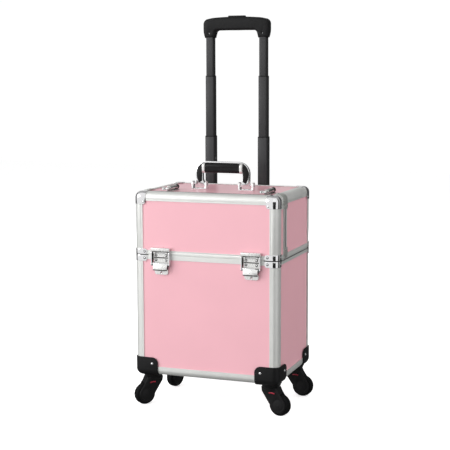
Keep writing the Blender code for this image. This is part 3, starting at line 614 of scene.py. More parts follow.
def corner_caps():
    """Chrome caps over the four top corners, held by a rivet on the face of each front cap and on three faces of each
    rear cap.
    """
    reach = 0.028
    for depth_name, face in (("front", 0.0), ("rear", DEPTH)):
        for label, sign in SIDES:
            front = depth_name == "front"
            shell = cap_shell(SEAM, HEIGHT, ("-z",))
            xs = sorted((sign * (HALF - reach), sign * (HALF + FAR)))
            ys = (-FAR, RAIL_END) if front else (DEPTH - reach, DEPTH + FAR)
            base = SHOULDER if front else HEIGHT - reach
            region = block((xs[0], ys[0], base - (0.0065 if front else 0)), (xs[1], ys[1], HEIGHT + FAR))
            ball = turned(arc((0.0, 0.0), 0.0365, -90, 90, 24), (sign * HALF, face, HEIGHT), (0, 0, 1), 40)
            mesh = softened(keep(shell, region, ball), 0.00025)
            body = "flap" if front else "carry_case"
            node = ("flap" if front else "rear") + "_corner_cap_" + label
            show("cap_" + depth_name + "_" + label, mesh, MATERIALS["chrome"], body, [node])
            out = -1 if front else 1
            edge = face + out * (GAP + 0.0009)
            heads = [dome((sign * (HALF - 0.0225), edge, HEIGHT - 0.0225), (0, out, 0))]
            if not front:
                heads.append(dome((sign * (HALF + GAP + 0.0009), face - 0.0225, HEIGHT - 0.0225), (sign, 0, 0)))
                heads.append(dome((sign * (HALF - 0.0225), face - 0.0225, HEIGHT + GAP + 0.0009), (0, 0, 1)))
            show("cap_rivets_" + depth_name + "_" + label, gather(*heads), MATERIALS["chrome"], body)


def seam_lip():
    """A lip that nearly closes the seam all round, and black strips in it at the four corners as painted shade in the
    seam gap.
    """
    base, top = LOWER_TOP - 0.001, UPPER_BASE - 0.0002
    flat = ("-z", "+z")
    lip = cut(case_block(-0.0003, base, top, flat), case_block(-0.0013, base - FAR, top + FAR, flat))
    show("seam_lip", lip, MATERIALS["rail"], "lower_case")
    base, top = LOWER_TOP + 0.0001, UPPER_BASE - 0.0001
    ring = cut(case_block(0.0003, base, top, flat), case_block(-0.0002, base - FAR, top + FAR, flat))
    low = base - 0.0007
    front_ring = cut(case_block(0.0009, low, top, flat), case_block(0.0001, low - FAR, top + FAR, flat))
    # black strips at the four corners of the seam gap: painted shade
    pieces = []
    for face in (0.0, DEPTH):
        for _, sign in SIDES:
            xs = sorted((sign * (HALF - 0.033), sign * (HALF + FAR)))
            inward = 0.0225 if face == 0 else -0.0225
            ys = sorted((face - math.copysign(FAR, inward), face + inward))
            pieces += [keep(shell.copy(), block((xs[0], ys[0], base - FAR), (xs[1], ys[1], top + FAR)))
                       for shell in (ring, front_ring)]
    show("seam_corner_shade", gather(*pieces), MATERIALS["black"], "lower_case")


def seam_fittings():
    """Small chrome plates that close the ends of the seam rails at each corner of the case."""
    reach, side_reach = 0.0305, 0.0205
    levels = (("lower", SEAM - 0.0148, LOWER_TOP - 0.0007, "lower_case"),
              ("upper", UPPER_BASE + 0.0003, SEAM + 0.0132, None))
    for depth_name, face in (("front", 0.0), ("rear", DEPTH)):
        for label, sign in SIDES:
            for level, bottom, top, body in levels:
                shell = cap_shell(bottom, top, ("-z", "+z"), 0.0008)
                xs = sorted((sign * (HALF - reach), sign * (HALF + FAR)))
                ys = sorted((face - (FAR if face == 0 else -FAR), face + (side_reach if face == 0 else -side_reach)))
                nose = 0.006
                outline = rounded_rectangle((xs[0], bottom), (xs[1], top), nose - 0.001)
                mesh = keep(shell, prism(outline, "y", ys[0], ys[1]))
                mesh = softened(mesh, 0.0002)
                name = "seam_plate_" + level + "_" + depth_name + "_" + label
                rides = body or ("flap" if face == 0 else "carry_case")
                show(name, mesh, MATERIALS["chrome"], rides)
                out = -1 if face == 0 else 1
                middle = (bottom + top) / 2
                head = dome((sign * (HALF - 0.0245), face + out * (GAP + 0.0008), middle), (0, out, 0), 0.0021)
                side = dome((sign * (HALF + GAP + 0.0008), face - out * 0.0165, middle), (sign, 0, 0), 0.0019)
                show("seam_rivets_" + level + "_" + depth_name + "_" + label, gather(head, side),
                     MATERIALS["chrome"], rides)
                # a black ring round the face rivet: painted shadow
                seat_and_rivet_shadow = rivet_shadow_ring((sign * (HALF - 0.0245), face + out * (GAP + 0.0008), middle), (0, out, 0), 0.0030)
                show("seam_seats_" + level + "_" + depth_name + "_" + label, seat_and_rivet_shadow, MATERIALS["black"], rides)


def side_fittings():
    """Plates over the ends of the two upright rails on each side, where flap and carry case meet."""
    clear, thick = GAP, 0.0008
    for label, sign in SIDES:
        shell = cap_shell(SEAM, HEIGHT, ("-z",), thick, clear)
        side = sorted((sign * (HALF - 0.0215), sign * (HALF + FAR)))
        saddle = keep(shell, block((side[0], 0.0365, SHOULDER + 0.0004), (side[1], 0.0635, HEIGHT + FAR)))
        shell = cap_shell(SEAM, HEIGHT, ("-z",), thick, clear)
        tongue = keep(shell, block((side[0], FLAP_RETURN + 0.0008, SHOULDER - 0.011),
                                   (side[1], 0.0635, SHOULDER + 0.002)))
        mesh = softened(join(saddle, tongue), 0.0002)
        show("side_saddle_" + label, mesh, MATERIALS["plate"], "carry_case")
        skin = sign * (HALF + clear + thick)
        heads = [dome((skin, 0.0568, SHOULDER - 0.0045), (sign, 0, 0), 0.0021),
                 dome((sign * (HALF - 0.0165), 0.050, HEIGHT + clear + thick), (0, 0, 1), 0.0021)]
        shell = cap_shell(UPPER_BASE, HEIGHT, ("-z",), thick, clear)
        foot = keep(shell, block((side[0], FLAP_RETURN + 0.0008, UPPER_BASE + 0.001), (side[1], 0.0635, 0.3005)))
        show("side_foot_" + label, softened(foot, 0.0002), MATERIALS["plate"], "carry_case")
        heads.append(dome((skin, 0.0568, 0.2955), (sign, 0, 0), 0.0021))
        show("side_rivets_" + label, gather(*heads), MATERIALS["steel"], "carry_case")

        shell = cap_shell(UPPER_BASE, HEIGHT, ("-z",), thick, clear)
        plates = [keep(shell.copy(), block((side[0], 0.0385, low), (side[1], FLAP_RETURN - 0.0003, high)))
                  for low, high in ((SEAM + 0.0055, 0.3005), (SHOULDER - 0.011, SHOULDER - 0.0012))]
        show("flap_side_plates_" + label, softened(gather(*plates), 0.0002), MATERIALS["plate"], "flap")
        heads = [dome((skin, 0.0440, z), (sign, 0, 0), 0.0021) for z in (0.2955, SHOULDER - 0.0055)]
        show("flap_side_rivets_" + label, gather(*heads), MATERIALS["steel"], "flap")


def side_beads():
    """Dull beads beside the joints on the two sides of the case."""
    low, high = 0.3008, SHOULDER - 0.0112
    for label, sign in SIDES:
        across = sorted((sign * (HALF - 0.0002), sign * (HALF + 0.00025)))
        beads = (("side_bead_", "carry_case", FLAP_RETURN + 0.0004, FLAP_RETURN + 0.0036, low, high),
                 ("flap_bead_", "flap", FLAP_RETURN - 0.0100, FLAP_RETURN - 0.0074, low, high),
                 ("seam_bead_", "lower_case", 0.0210, DEPTH - 0.0210, LOWER_TOP - 0.0030, LOWER_TOP - 0.0004))
        for name, body, front, back, bottom, top in beads:
            bead = block((across[0], front, bottom), (across[1], back, top), 0.00015, steps=2)
            show(name + label, bead, MATERIALS["grey"], body)


def piano_hinge():
    """A row of knuckles along the hinge line, behind the front rail of the lid."""
    hinge = joint_spot("flap_hinge")
    low, high = box_spot("flap_hinge_barrel")
    radius = (high.z - low.z) / 2
    count = 13
    pitch = (high.x - low.x) / count
    groups = {"carry_case": [], "flap": []}
    for index in range(count):
        start = low.x + index * pitch + 0.0002
        mesh = rod((0, hinge.y, hinge.z), (1, 0, 0), start, start + pitch - 0.0004, radius - 0.00015, 0.0002, 18)
        groups["carry_case" if index % 2 == 0 else "flap"].append(mesh)
    leaf = block((low.x, hinge.y + radius - 0.0004, HEIGHT - FACE + 0.0001),
                 (high.x, TOP_FRONT + 0.006, HEIGHT - FACE + 0.0008))
    groups["carry_case"].append(leaf)
    show("hinge_knuckles_case", gather(*groups["carry_case"]), MATERIALS["grey"], "carry_case",
         ["flap_hinge_barrel"])
    show("hinge_knuckles_flap", gather(*groups["flap"]), MATERIALS["grey"], "flap")


# ---- latches ----------------------------------------------------------------------------------------
def latches():
    for label, _ in SIDES:
        pivot = joint_spot("latch_" + label + "_hinge")
        keeper = box_spot("latch_keeper_" + label)
        x, half = (keeper[0].x + keeper[1].x) / 2, (keeper[1].x - keeper[0].x) / 2
        latch_keeper(label, x, half, keeper)
        latch_plate(label, x, half, pivot)
        latch_loop(label, x, half, pivot)


def latch_keeper(label, x, half, box):
    """The fixed plate on the lower case: two rivets, a hook and a tongue with a keyhole."""
    low, high = box
    back, face = -GAP, -GAP - 0.0020
    shoulder = 0.2510
    top = high.z - 0.0009
    plate = prism(rounded_rectangle((x - half, shoulder), (x + half, top), 0.0016), "y", face, back)
    tongue = rounded_rectangle((x - 0.0162, low.z), (x + 0.0162, shoulder + 0.008), 0.0055, 8)
    tongue = prism(tongue, "y", back - 0.0016, back)
    hole = rod((x, 0, 0.2378), (0, 1, 0), -FAR, FAR, 0.0014, 0.0001, 20)
    hook = prism(rounded_rectangle((x - 0.010, 0.2545), (x + 0.010, 0.2575), 0.0012), "y", low.y, back - 0.001)
    keeper = softened(join(cut(join(plate, tongue), hole), hook), 0.0003)
    show("keeper_" + label, keeper, MATERIALS["nickel"], "lower_case", ["latch_keeper_" + label])
    ring = turned([(0.0017, 0.0), (0.0017, 0.0007), (0.0024, 0.0009), (0.0030, 0.0004), (0.0031, 0.0)],
                  (x, back - 0.0016, 0.2378), (0, -1, 0), 24)
    spots = [(x + side * 0.0122, face, 0.2663) for side in (-1, 1)]
    heads = [dome(spot, (0, -1, 0), 0.0021, 0.0014) for spot in spots]
    show("keeper_rivets_" + label, gather(ring, *heads), MATERIALS["chrome"], "lower_case")
    # black rings round the rivets and a thin black strip behind the gap between the plates: painted shade
    rivet_shadows = [rivet_shadow_ring(spot, (0, -1, 0)) for spot in spots]
    gap_shade = block((x - half + 0.001, back, 0.2694), (x + half - 0.001, back + 0.00025, 0.2738))
    show("keeper_painted_shade_" + label, gather(*rivet_shadows, gap_shade), MATERIALS["black"], "lower_case")


def latch_plate(label, x, half, pivot):
    """The plate on the flap, with the hood over its hinge pin; it hangs a little below the seam."""
    y, z = pivot.y, pivot.z
    low, high = box_spot("latch_plate_" + label)
    back, face = -GAP, -GAP - 0.0020
    hood_bottom = 0.2868
    bottom = low.z + 0.0007
    plate = prism(rounded_rectangle((x - half, bottom), (x + half, hood_bottom + 0.003), 0.0014), "y", face, back)
    hood = [(back, hood_bottom), (low.y + 0.0006, hood_bottom), (low.y, hood_bottom + 0.0006)]
    hood += [(low.y, high.z - 0.0030)] + arc((low.y + 0.0026, high.z - 0.0026), 0.0026, 180, 90, 8)
    hood += [(back, high.z - 0.0004)]
    hood = softened(prism(hood, "x", low.x, high.x), 0.0004, 3)
    show("latch_hood_" + label, hood, MATERIALS["nickel"], "flap")
    for side in (-1, 1):
        inner, outer = sorted((x + side * 0.0125, x + side * 0.0165))
        plate = join(plate, rod((0, y, z), (1, 0, 0), inner, outer, 0.0022, 0.0003, 24))
        plate = join(plate, block((inner, y, z - 0.0022), (outer, back - 0.001, z + 0.0022)))
    plate = cut(plate, rod((0, y, z), (1, 0, 0), low.x, high.x, 0.0015, 0.0001, 20))
    show("latch_plate_shape_" + label, softened(plate, 0.0003), MATERIALS["nickel"], "flap",
         ["latch_plate_" + label])
    spots = [(x + side * 0.0122, face, 0.2768) for side in (-1, 1)]
    heads = [dome(spot, (0, -1, 0), 0.0021, 0.0014) for spot in spots]
    show("latch_plate_rivets_" + label, gather(*heads), MATERIALS["chrome"], "flap")
    # black rings round the rivets and a black strip under the hood: painted shadow
    rivet_shadows = [rivet_shadow_ring(spot, (0, -1, 0)) for spot in spots]
    hood_shadow = block((x - half + 0.0005, face - 0.0016, hood_bottom - 0.0018), (x + half - 0.0005, face, hood_bottom))
    show("latch_hood_shadow_" + label, gather(hood_shadow, *rivet_shadows), MATERIALS["black"], "flap")


def latch_loop(label, x, half, pivot):
    """Two arms on the pin, a bar between them and the bowed lever over it."""
    y, z = pivot.y, pivot.z
    low, high = box_spot("latch_lever_" + label)
    radius = 0.0041
    body = "latch_" + label
    inner, outer = half + 0.0014, high.x - x
    foot = 0.2530 + radius
    outline = arc((y, z), radius, 0, 180, 14) + arc((y, foot), radius, 180, 360, 14)
    arms = []
    for side in (-1, 1):
        ends = sorted((x + side * inner, x + side * outer))
        arm = prism(outline, "x", ends[0], ends[1])
        groove = prism(arc((y, z - 0.004), 0.0020, 0, 180, 8) + arc((y, foot + 0.004), 0.0020, 180, 360, 8), "x",
                       *sorted((x + side * (outer - 0.0005), x + side * (outer + FAR))))
        arms.append(softened(cut(arm, groove), 0.0007, 3, 50))
    bridge = prism(rounded_rectangle((-0.0082, 0.2555), (-0.0062, 0.2602), 0.0008, 4), "x",
                   x - outer + 0.001, x + outer - 0.001)
    pin = rod((0, y, z), (1, 0, 0), x - outer, x + outer, 0.0011, 0.0002, 20)
    show("latch_loop_" + label, gather(*arms, softened(bridge, 0.0002), pin), MATERIALS["chrome"], body,
         ["latch_lever_" + label])

    centre = (0.0109, 0.2470)
    outer_curve = arc(centre, 0.0220, 141, 184, 16)
    inner_curve = arc(centre, 0.0209, 184, 141, 16)
    lever = prism(outer_curve + inner_curve, "x", x - 0.0168, x + 0.0168)
    show("latch_thumb_" + label, softened(lever, 0.0003, 2, 50), MATERIALS["nickel"], body)
    # black pieces as painted shade: the hollow at the lever's ends, a rod for the shadow line under the lever and thin
    # plates on the arms' inner faces
    hollow_shade = arc(centre, 0.0206, 151, 182, 8) + [(-0.0030, 0.2464), (-0.0030, 0.2565)]
    dark = [prism(hollow_shade, "x", *sorted((x + side * 0.0120, x + side * 0.0166))) for side in (-1, 1)]
    dark.append(rod((0, -0.0099, 0.2444), (1, 0, 0), x - 0.0168, x + 0.0168, 0.0011, 0.0003, 16))
    arm_shade = arc((y, z), radius - 0.0010, 0, 180, 10) + arc((y, foot), radius - 0.0010, 180, 360, 10)
    for side in (-1, 1):
        ends = sorted((x + side * inner, x + side * (inner - 0.0004)))
        dark.append(prism(arm_shade, "x", ends[0], ends[1]))
    show("latch_painted_shade_" + label, gather(*dark), MATERIALS["black"], body)
    dots = [turned([(0.0, 0.0005), (0.0011, 0.0004), (0.0016, 0.0), (0.0016, -0.0004), (0.0, -0.0004)],
                   (x + side * (inner + outer) / 2, y - radius, 0.2568), (0, -1, 0), 16) for side in (-1, 1)]
    show("latch_dots_" + label, gather(*dots), MATERIALS["chrome"], body)


# ---- carry handle and strap fittings ----------------------------------------------------------------
def carry_handle():
    pivot = joint_spot("handle_hinge")
    low, high = box_spot("handle_bail")
    grip_low, grip_high = box_spot("handle_grip")
    x0, y, half_depth = pivot.x, pivot.y, (high.y - low.y) / 2
    strip, corner = 0.0040, 0.027
    top, foot = high.z, pivot.z - 0.0042
    outer = 0.065
    inner = (grip_high.x - grip_low.x) / 2 + GAP
    brackets = {label: box_spot("handle_bracket_" + label) for label, _ in SIDES}
    spread = (brackets["right"][0].x + brackets["right"][1].x) / 2 - x0
    ear = 0.0035
    reach = (brackets["right"][1].x - brackets["right"][0].x) / 2 - ear - GAP
    chrome = MATERIALS["chrome"]

    right = [(inner, top - strip), (inner, 0.440), (spread - reach, foot), (outer - 0.001, foot)]
    right += arc((outer - corner, top - corner), corner, 0, 90, 14)
    outline = right + [(-a, b) for a, b in reversed(right)]
    bail = prism([(x0 + a, b) for a, b in outline], "y", y - half_depth, y + half_depth)
    taper = 0.48
    for vert in bail.vertices:
        vert.co.y = y + (vert.co.y - y) * (1 - taper * (vert.co.z - foot) / (top - foot))
    bail = softened(bail, 0.0009, 3, 30)
    pins = []
    for label, sign in SIDES:
        bracket_low, bracket_high = brackets[label]
        middle = (bracket_low.x + bracket_high.x) / 2
        for side in (-1, 1):
            ends = sorted((middle + side * 0.006, middle + side * (reach + ear)))
            pins.append(rod((0, y, pivot.z), (1, 0, 0), ends[0], ends[1], 0.0020, 0.0003, 20))
        handle_bracket(label, middle, y, pivot.z, bracket_low, bracket_high, ear)
    show("handle_frame", gather(bail, *pins), chrome, "carry_handle", ["handle_bail"])

    inserts = []
    flat = inner + 0.0012
    for sign in (-1, 1):
        for face in (-1, 1):
            crescent = arc((outer - corner, top - corner), corner - 0.0014, 88, 4, 16)
            crescent += arc((outer - corner - 0.0045, 0.4500), corner + 0.0022, -2, -38, 8)
            crescent = [point for point in crescent if point[0] > flat]
            crescent += [(flat, 0.4362), (flat, crescent[0][1])]
            crescent = [(x0 + sign * a, b) for a, b in crescent]
            insert = prism(crescent, "y", y, y + face * (half_depth + 0.0004))
            for vert in insert.vertices:
                vert.co.y = y + (vert.co.y - y) * (1 - taper * (vert.co.z - foot) / (top - foot))
            inserts.append(softened(insert, 0.0003, 2, 50))
    show("handle_end_inserts", gather(*inserts), MATERIALS["black"], "carry_handle")

    bottom = grip_low.z
    ferrules, ring = [], 0.0060
    section = rounded_rectangle((y - 0.0094, bottom - 0.0007), (y + 0.0094, top - strip - 0.0001), 0.0068, 8)
    for sign in (-1, 1):
        ends = sorted((x0 + sign * (inner - ring), x0 + sign * (inner + 0.0004)))
        ferrules.append(softened(prism(section, "x", ends[0], ends[1]), 0.0005, 3, 30))
    show("handle_ferrules", gather(*ferrules), MATERIALS["nickel"], "carry_handle")
    section = rounded_rectangle((grip_low.y, bottom), (grip_high.y, top - strip - GAP), 0.0068, 8)
    grip = prism(section, "x", x0 + ring - inner, x0 + inner - ring)
    for offset in (-0.0052, 0.0, 0.0052):
        for face in (-1, 1):
            level = bottom + 0.0100 + offset * 0.6
            grip = cut(grip, rod((x0, y + face * 0.0088, level), (1, 0, 0), -0.038, 0.038, 0.0004, 0.0002, 8))
    show("handle_grip_cover", softened(grip, 0.0004, 2, 40), MATERIALS["black"], "carry_handle",
         ["handle_grip"])


def handle_bracket(label, x, y, pivot_z, low, high, thick):
    """A pressed U: a base plate with two ears round the handle's pin and two rivets."""
    base = rounded_rectangle((low.x, low.y), (high.x, high.y), 0.003)
    mesh = prism(base, "z", low.z, low.z + 0.0020)
    ear_half = 0.0066
    reach = high.x - x
    for side in (-1, 1):
        inner, outer = sorted((x + side * (reach - thick), x + side * reach))
        ear = [(y - ear_half - 0.0006, low.z + 0.001), (y + ear_half + 0.0006, low.z + 0.001)]
        ear += [(y + ear_half, pivot_z - 0.001)] + arc((y, high.z - ear_half), ear_half, 0, 180, 10)
        mesh = join(mesh, prism(ear, "x", inner, outer))
    mesh = cut(mesh, rod((0, y, pivot_z), (1, 0, 0), x - 2 * reach, x + 2 * reach, 0.0024, 0.0001, 20))
    show("bracket_" + label, softened(mesh, 0.0009, 3), MATERIALS["bright"], "carry_case",
         ["handle_bracket_" + label])
    heads = [dome((x + side * 0.006, y, low.z + 0.0020), (0, 0, 1), 0.0024) for side in (-1, 1)]
    show("bracket_rivets_" + label, gather(*heads), MATERIALS["steel"], "carry_case")


def strap_fittings():
    """A grey roll along the lid with a black flange behind it; a ring swings over about its axis."""
    for label, _ in SIDES:
        pivot = joint_spot("strap_eye_" + label + "_swivel")
        low, high = box_spot("strap_barrel_" + label)
        x, z = pivot.x, pivot.z
        flange = high.z - z
        radius, wall, collar = flange - 0.0007, 0.0011, 0.0025
        end = high.y - collar
        ring = arc((x, z), radius, -70, 250, 26) + arc((x, z), radius - wall, 250, -70, 26)
        roll = prism(ring, "y", low.y, end)
        core = rod((x, 0, z), (0, 1, 0), low.y + 0.001, end, radius - wall - 0.0001, 0.0003, 24)
        core = cut(core, rod((x, 0, z), (0, 1, 0), low.y - FAR, low.y + 0.026, 0.0020, 0.0001, 20))
        foot = prism(rounded_rectangle((low.x, low.y + 0.004), (high.x, high.y - 0.004), 0.002), "z",
                     low.z, low.z + 0.0014)
        mesh = gather(softened(roll, 0.0003), core, softened(foot, 0.0003))
        show("strap_roll_" + label, mesh, MATERIALS["steel"], "carry_case", ["strap_barrel_" + label])
        plug = turned([(0.0, 0.0), (flange - 0.0008, 0.0), (flange, 0.0006), (flange, collar - 0.0006),
                       (flange - 0.0006, collar), (0.0020, collar), (0.0014, collar - 0.0005), (0.0, collar - 0.0005)],
                      (x, end, z), (0, 1, 0), 28)
        show("strap_plug_" + label, plug, MATERIALS["black"], "carry_case")

        eye_low, eye_high = box_spot("strap_eye_" + label)
        tube, bar = 0.0055, 0.0013
        tall = (eye_high.z - eye_low.z) / 2
        centre = Vector((eye_low.x + tube, eye_low.y + tube, z))
        profile = [(tube, -tall + 0.0006), (tube, tall - 0.0006), (tube - 0.0006, tall),
                   (tube - 2 * bar + 0.0005, tall), (tube - 2 * bar, tall - 0.0005),
                   (tube - 2 * bar, 0.0005 - tall), (tube - 2 * bar + 0.0005, -tall), (tube - 0.0006, -tall)]
        eye = turned(profile, centre, (0, 0, 1), 40)
        arm = block((centre.x + tube - bar, centre.y - 0.0019, z - 0.0021),
                    (eye_high.x, centre.y + 0.0019, z + 0.0021), 0.0006, steps=3)
        pin = rod((x, 0, z), (0, 1, 0), centre.y, eye_high.y, 0.0016, 0.0002, 20)
        show("strap_eye_ring_" + label, gather(eye, arm, pin), MATERIALS["bright"], "strap_eye_" + label,
             ["strap_eye_" + label])


# ---- trolley ----------------------------------------------------------------------------------------
def tube_mesh(node, wall=0.0010, corner=0.0032):
    low, high = box_spot(node)
    outer = prism(rounded_rectangle((low.x, low.y), (high.x, high.y), corner, 6), "z", low.z, high.z)
    inner = rounded_rectangle((low.x + wall, low.y + wall), (high.x - wall, high.y - wall), corner - wall * 0.8, 6)
    tube = cut(outer, prism(inner, "z", low.z - FAR, high.z + FAR))
    return low, high, tube


def trolley_tubes():
    stages = (("trolley_outer_tube_", "lower_case"), ("trolley_stage3_tube_", "trolley_stage3"),
              ("trolley_stage2_tube_", "trolley_stage2"), ("trolley_stage1_tube_", "trolley_stage1"))
    for prefix, body in stages:
        for label, _ in SIDES:
            low, high, tube = tube_mesh(prefix + label)
            tube = softened(tube, 0.00025)
            name = prefix.replace("tube_", "") + label + "_skin"
            show(name, tube, MATERIALS["tube"], body, [prefix + label])
            if "stage1" in prefix:
                continue
            collar_high = high.z
            grow = 0.0
            outer = prism(rounded_rectangle((low.x - grow, low.y - grow), (high.x + grow, high.y + grow), 0.0032, 6),
                          "z", collar_high + 0.0001, collar_high + 0.0021)
            hole = rounded_rectangle((low.x + 0.00115, low.y + 0.00115), (high.x - 0.00115, high.y - 0.00115),
                                     0.0024, 6)
            collar = cut(outer, prism(hole, "z", collar_high - FAR, collar_high + FAR))
            show(name.replace("_skin", "_collar"), softened(collar, 0.0003), MATERIALS["black"], body)
    low, high = box_spot("trolley_stage3_tube_left")
    spot = (high.x, (low.y + high.y) / 2, high.z - 0.052)
    knob = turned([(0.0, 0.00025), (0.0022, 0.0002), (0.0025, 0.0), (0.0025, -0.0006), (0.0, -0.0006)], spot,
                  (1, 0, 0), 24)
    show("trolley_spring_button", knob, MATERIALS["chrome"], "trolley_stage3")


def trolley_grip():
    low, high = box_spot("trolley_grip")
    tubes = [box_spot("trolley_stage1_tube_" + label) for label, _ in SIDES]
    x0 = (low.x + high.x) / 2
    y0 = (low.y + high.y) / 2
    half, base = (high.x - low.x) / 2, low.z
    socket, corner, fillet, top, ceiling = 0.030, 0.013, 0.008, 0.8068, 0.7795
    rise = high.z - top
    inner = half - socket
    right = [(half - 0.004, base), (half - 0.0020, base + 0.006), (half - 0.0004, 0.776), (half, 0.782)]
    right += arc((half - corner, top - corner), corner, 6, 84, 14)
    crown = [(half * t, top + rise * (1 - t * t)) for t in (0.72, 0.62, 0.5, 0.38, 0.25, 0.12, 0.0)]
    under = [(0.0, ceiling), (0.020, ceiling + 0.0002)]
    under += arc((inner - fillet, ceiling - fillet), fillet, 88, 4, 8) + [(inner + 0.0012, base + 0.006)]
    under += [(inner + 0.0026, base)]
    outline = right + crown
    outline += [(-x, z) for x, z in reversed(right + crown[:-1])]
    outline += [(-x, z) for x, z in reversed(under)][:-1] + under
    outline = [(x0 + x, z) for x, z in outline]
    grip = prism(outline, "y", low.y, high.y)
    grip = rims_rounded(grip, "y", 0.0062, 6)
    for tube_low, tube_high in tubes:
        hole = rounded_rectangle((tube_low.x - GAP, tube_low.y - GAP), (tube_high.x + GAP, tube_high.y + GAP),
                                 0.0035, 6)
        grip = cut(grip, prism(hole, "z", base - FAR, tube_high.z + GAP))
    button_low, button_high = box_spot("trolley_button")
    seat_and_rivet_shadow = prism(rounded_rectangle((button_low.x - 0.0005, button_low.y - 0.0005),
                                   (button_high.x + 0.0005, button_high.y + 0.0005), 0.0035, 6), "z", 0.7955, 0.83)
    grip = cut(grip, seat_and_rivet_shadow)
    for tube_low, tube_high in tubes:
        middle = (tube_low.x + tube_high.x) / 2
        bore = rod((middle, 0, base + 0.0105), (0, 1, 0), low.y - FAR, low.y + 0.0022, 0.0024, 0.0001, 20)
        grip = cut(grip, bore)
    show("trolley_grip_shape", softened(grip, 0.0006, 3, 45), MATERIALS["black"], "trolley_stage1",
         ["trolley_grip"], 50)
    screws = [dome(((a.x + b.x) / 2, low.y + 0.0019, base + 0.0105), (0, -1, 0), 0.0020, 0.0007) for a, b in tubes]
    show("trolley_grip_screws", gather(*screws), MATERIALS["grey"], "trolley_stage1")

    button = prism(rounded_rectangle((button_low.x, button_low.y), (button_high.x, button_high.y), 0.0032, 6), "z",
                   button_low.z, button_high.z)
    button = softened(button, 0.0016, 4, 50)
    for index in range(-3, 4):
        x = x0 + index * 0.0042
        button = cut(button, rod((x, 0, button_high.z + 0.0001), (0, 1, 0), y0 - 0.0045, y0 + 0.0045, 0.0005,
                                 0.0002, 8))
    show("trolley_button_cap", button, MATERIALS["black"], "trolley_button", ["trolley_button"])


def trolley_brackets():
    for label in ("lower", "upper"):
        low, high = box_spot("trolley_bracket_" + label)
        bar = prism(rounded_rectangle((low.x, low.y), (high.x, high.y), 0.006, 6), "z", low.z, high.z)
        bar = rims_rounded(bar, "z", 0.0022, 3)
        middles = []
        for side, _ in SIDES:
            tube_low, tube_high = box_spot("trolley_outer_tube_" + side)
            middles.append((tube_low.x + tube_high.x) / 2)
            hole = rounded_rectangle((tube_low.x - GAP, tube_low.y - GAP), (tube_high.x + GAP, tube_high.y + GAP),
                                     0.0036, 6)
            floor = tube_low.z - GAP if label == "lower" else low.z - FAR
            bar = cut(bar, prism(hole, "z", floor, high.z + FAR))
        left, right = middles
        pocket = block((left + 0.020, high.y - 0.004, low.z + 0.006), (right - 0.020, high.y + FAR, high.z - 0.006),
                       0.002, flat=("+y",))
        bar = softened(cut(bar, pocket), 0.0005, 2, 45)
        show("trolley_clamp_" + label, bar, MATERIALS["black"], "lower_case", ["trolley_bracket_" + label])
        middle = (low.z + high.z) / 2
        screws = [dome((x, high.y - 0.004, middle), (0, 1, 0), 0.0034, 0.0016)
                  for x in (left + 0.032, right - 0.032)]
        screws += [dome((x, high.y - 0.0014, middle), (0, 1, 0), 0.0026, 0.0012) for x in middles]
        show("trolley_clamp_screws_" + label, gather(*screws), MATERIALS["steel"], "lower_case")


# ---- casters ----------------------------------------------------------------------------------------
def casters():
    for label in CORNERS:
        swivel = joint_spot("swivel_" + label)
        hub = joint_spot("wheel_spin_" + label)
        trail = Vector((hub.x - swivel.x, hub.y - swivel.y, 0.0))
        turn = Matrix.Rotation(math.atan2(trail.y, trail.x), 4, "Z")
        place = Matrix.Translation((swivel.x, swivel.y, 0.0)) @ turn
        housing(label, swivel.x, swivel.y)
        fork(label, place, trail.length, hub.z)
        wheel(label, place, trail.length, hub.z)


def housing(label, x, y):
    """A moulded corner: a rounded lobe on each face with a bolt, and the caster's round column below."""
    sign_x = 1 if x > 0 else -1
    sign_y = -1 if y < DEPTH / 2 else 1
    low, high = box_spot("corner_housing_" + label)
    wall = high.x - HALF if sign_x > 0 else -HALF - low.x
    height, lobe, corner = high.z, 0.054, 0.0135
    face_y = 0.0 if sign_y < 0 else DEPTH
    shell = case_block(wall, -wall, height + 0.02, ("+z",))
    shell = cut(shell, case_block(GAP, -GAP, height + 0.03, ("+z",)))
    side_x = sorted((sign_x * (HALF - lobe), sign_x * (HALF + 0.03)))
    side_y = sorted((face_y - sign_y * lobe, face_y + sign_y * 0.03))
    front = rounded_rectangle((side_x[0], -0.03), (side_x[1], height), corner, 10)
    flank = rounded_rectangle((side_y[0], -0.03), (side_y[1], height), corner, 10)
    shell = keep(shell, prism(front, "y", -0.05, DEPTH + 0.05), prism(flank, "x", -0.25, 0.25))
    shell = softened(shell, 0.0009, 3, 40)
    foot = low.z
    column = turned([(0.0, foot), (0.0198, foot), (0.0205, foot + 0.0008), (0.0212, foot + 0.0035),
                     (0.0226, foot + 0.0065), (0.0238, foot + 0.0085), (0.0238, foot + 0.0092), (0.0, foot + 0.0092)],
                    (x, y, 0), (0, 0, 1), 48)
    column = cut(column, rod((x, y, 0), (0, 0, 1), foot - FAR, -0.0022, 0.0044, 0.0001, 24))
    show("caster_corner_" + label, gather(shell, column), MATERIALS["black"], "lower_case",
         ["corner_housing_" + label])
    bolts = []
    level = 0.0265
    bolts.append(dome((sign_x * (HALF - 0.0405), face_y + sign_y * wall, level), (0, sign_y, 0), 0.0030, 0.0016))
    bolts.append(dome((sign_x * (HALF + wall), face_y - sign_y * 0.0405, level), (sign_x, 0, 0), 0.0030, 0.0016))
    show("caster_bolts_" + label, gather(*bolts), MATERIALS["chrome"], "lower_case")


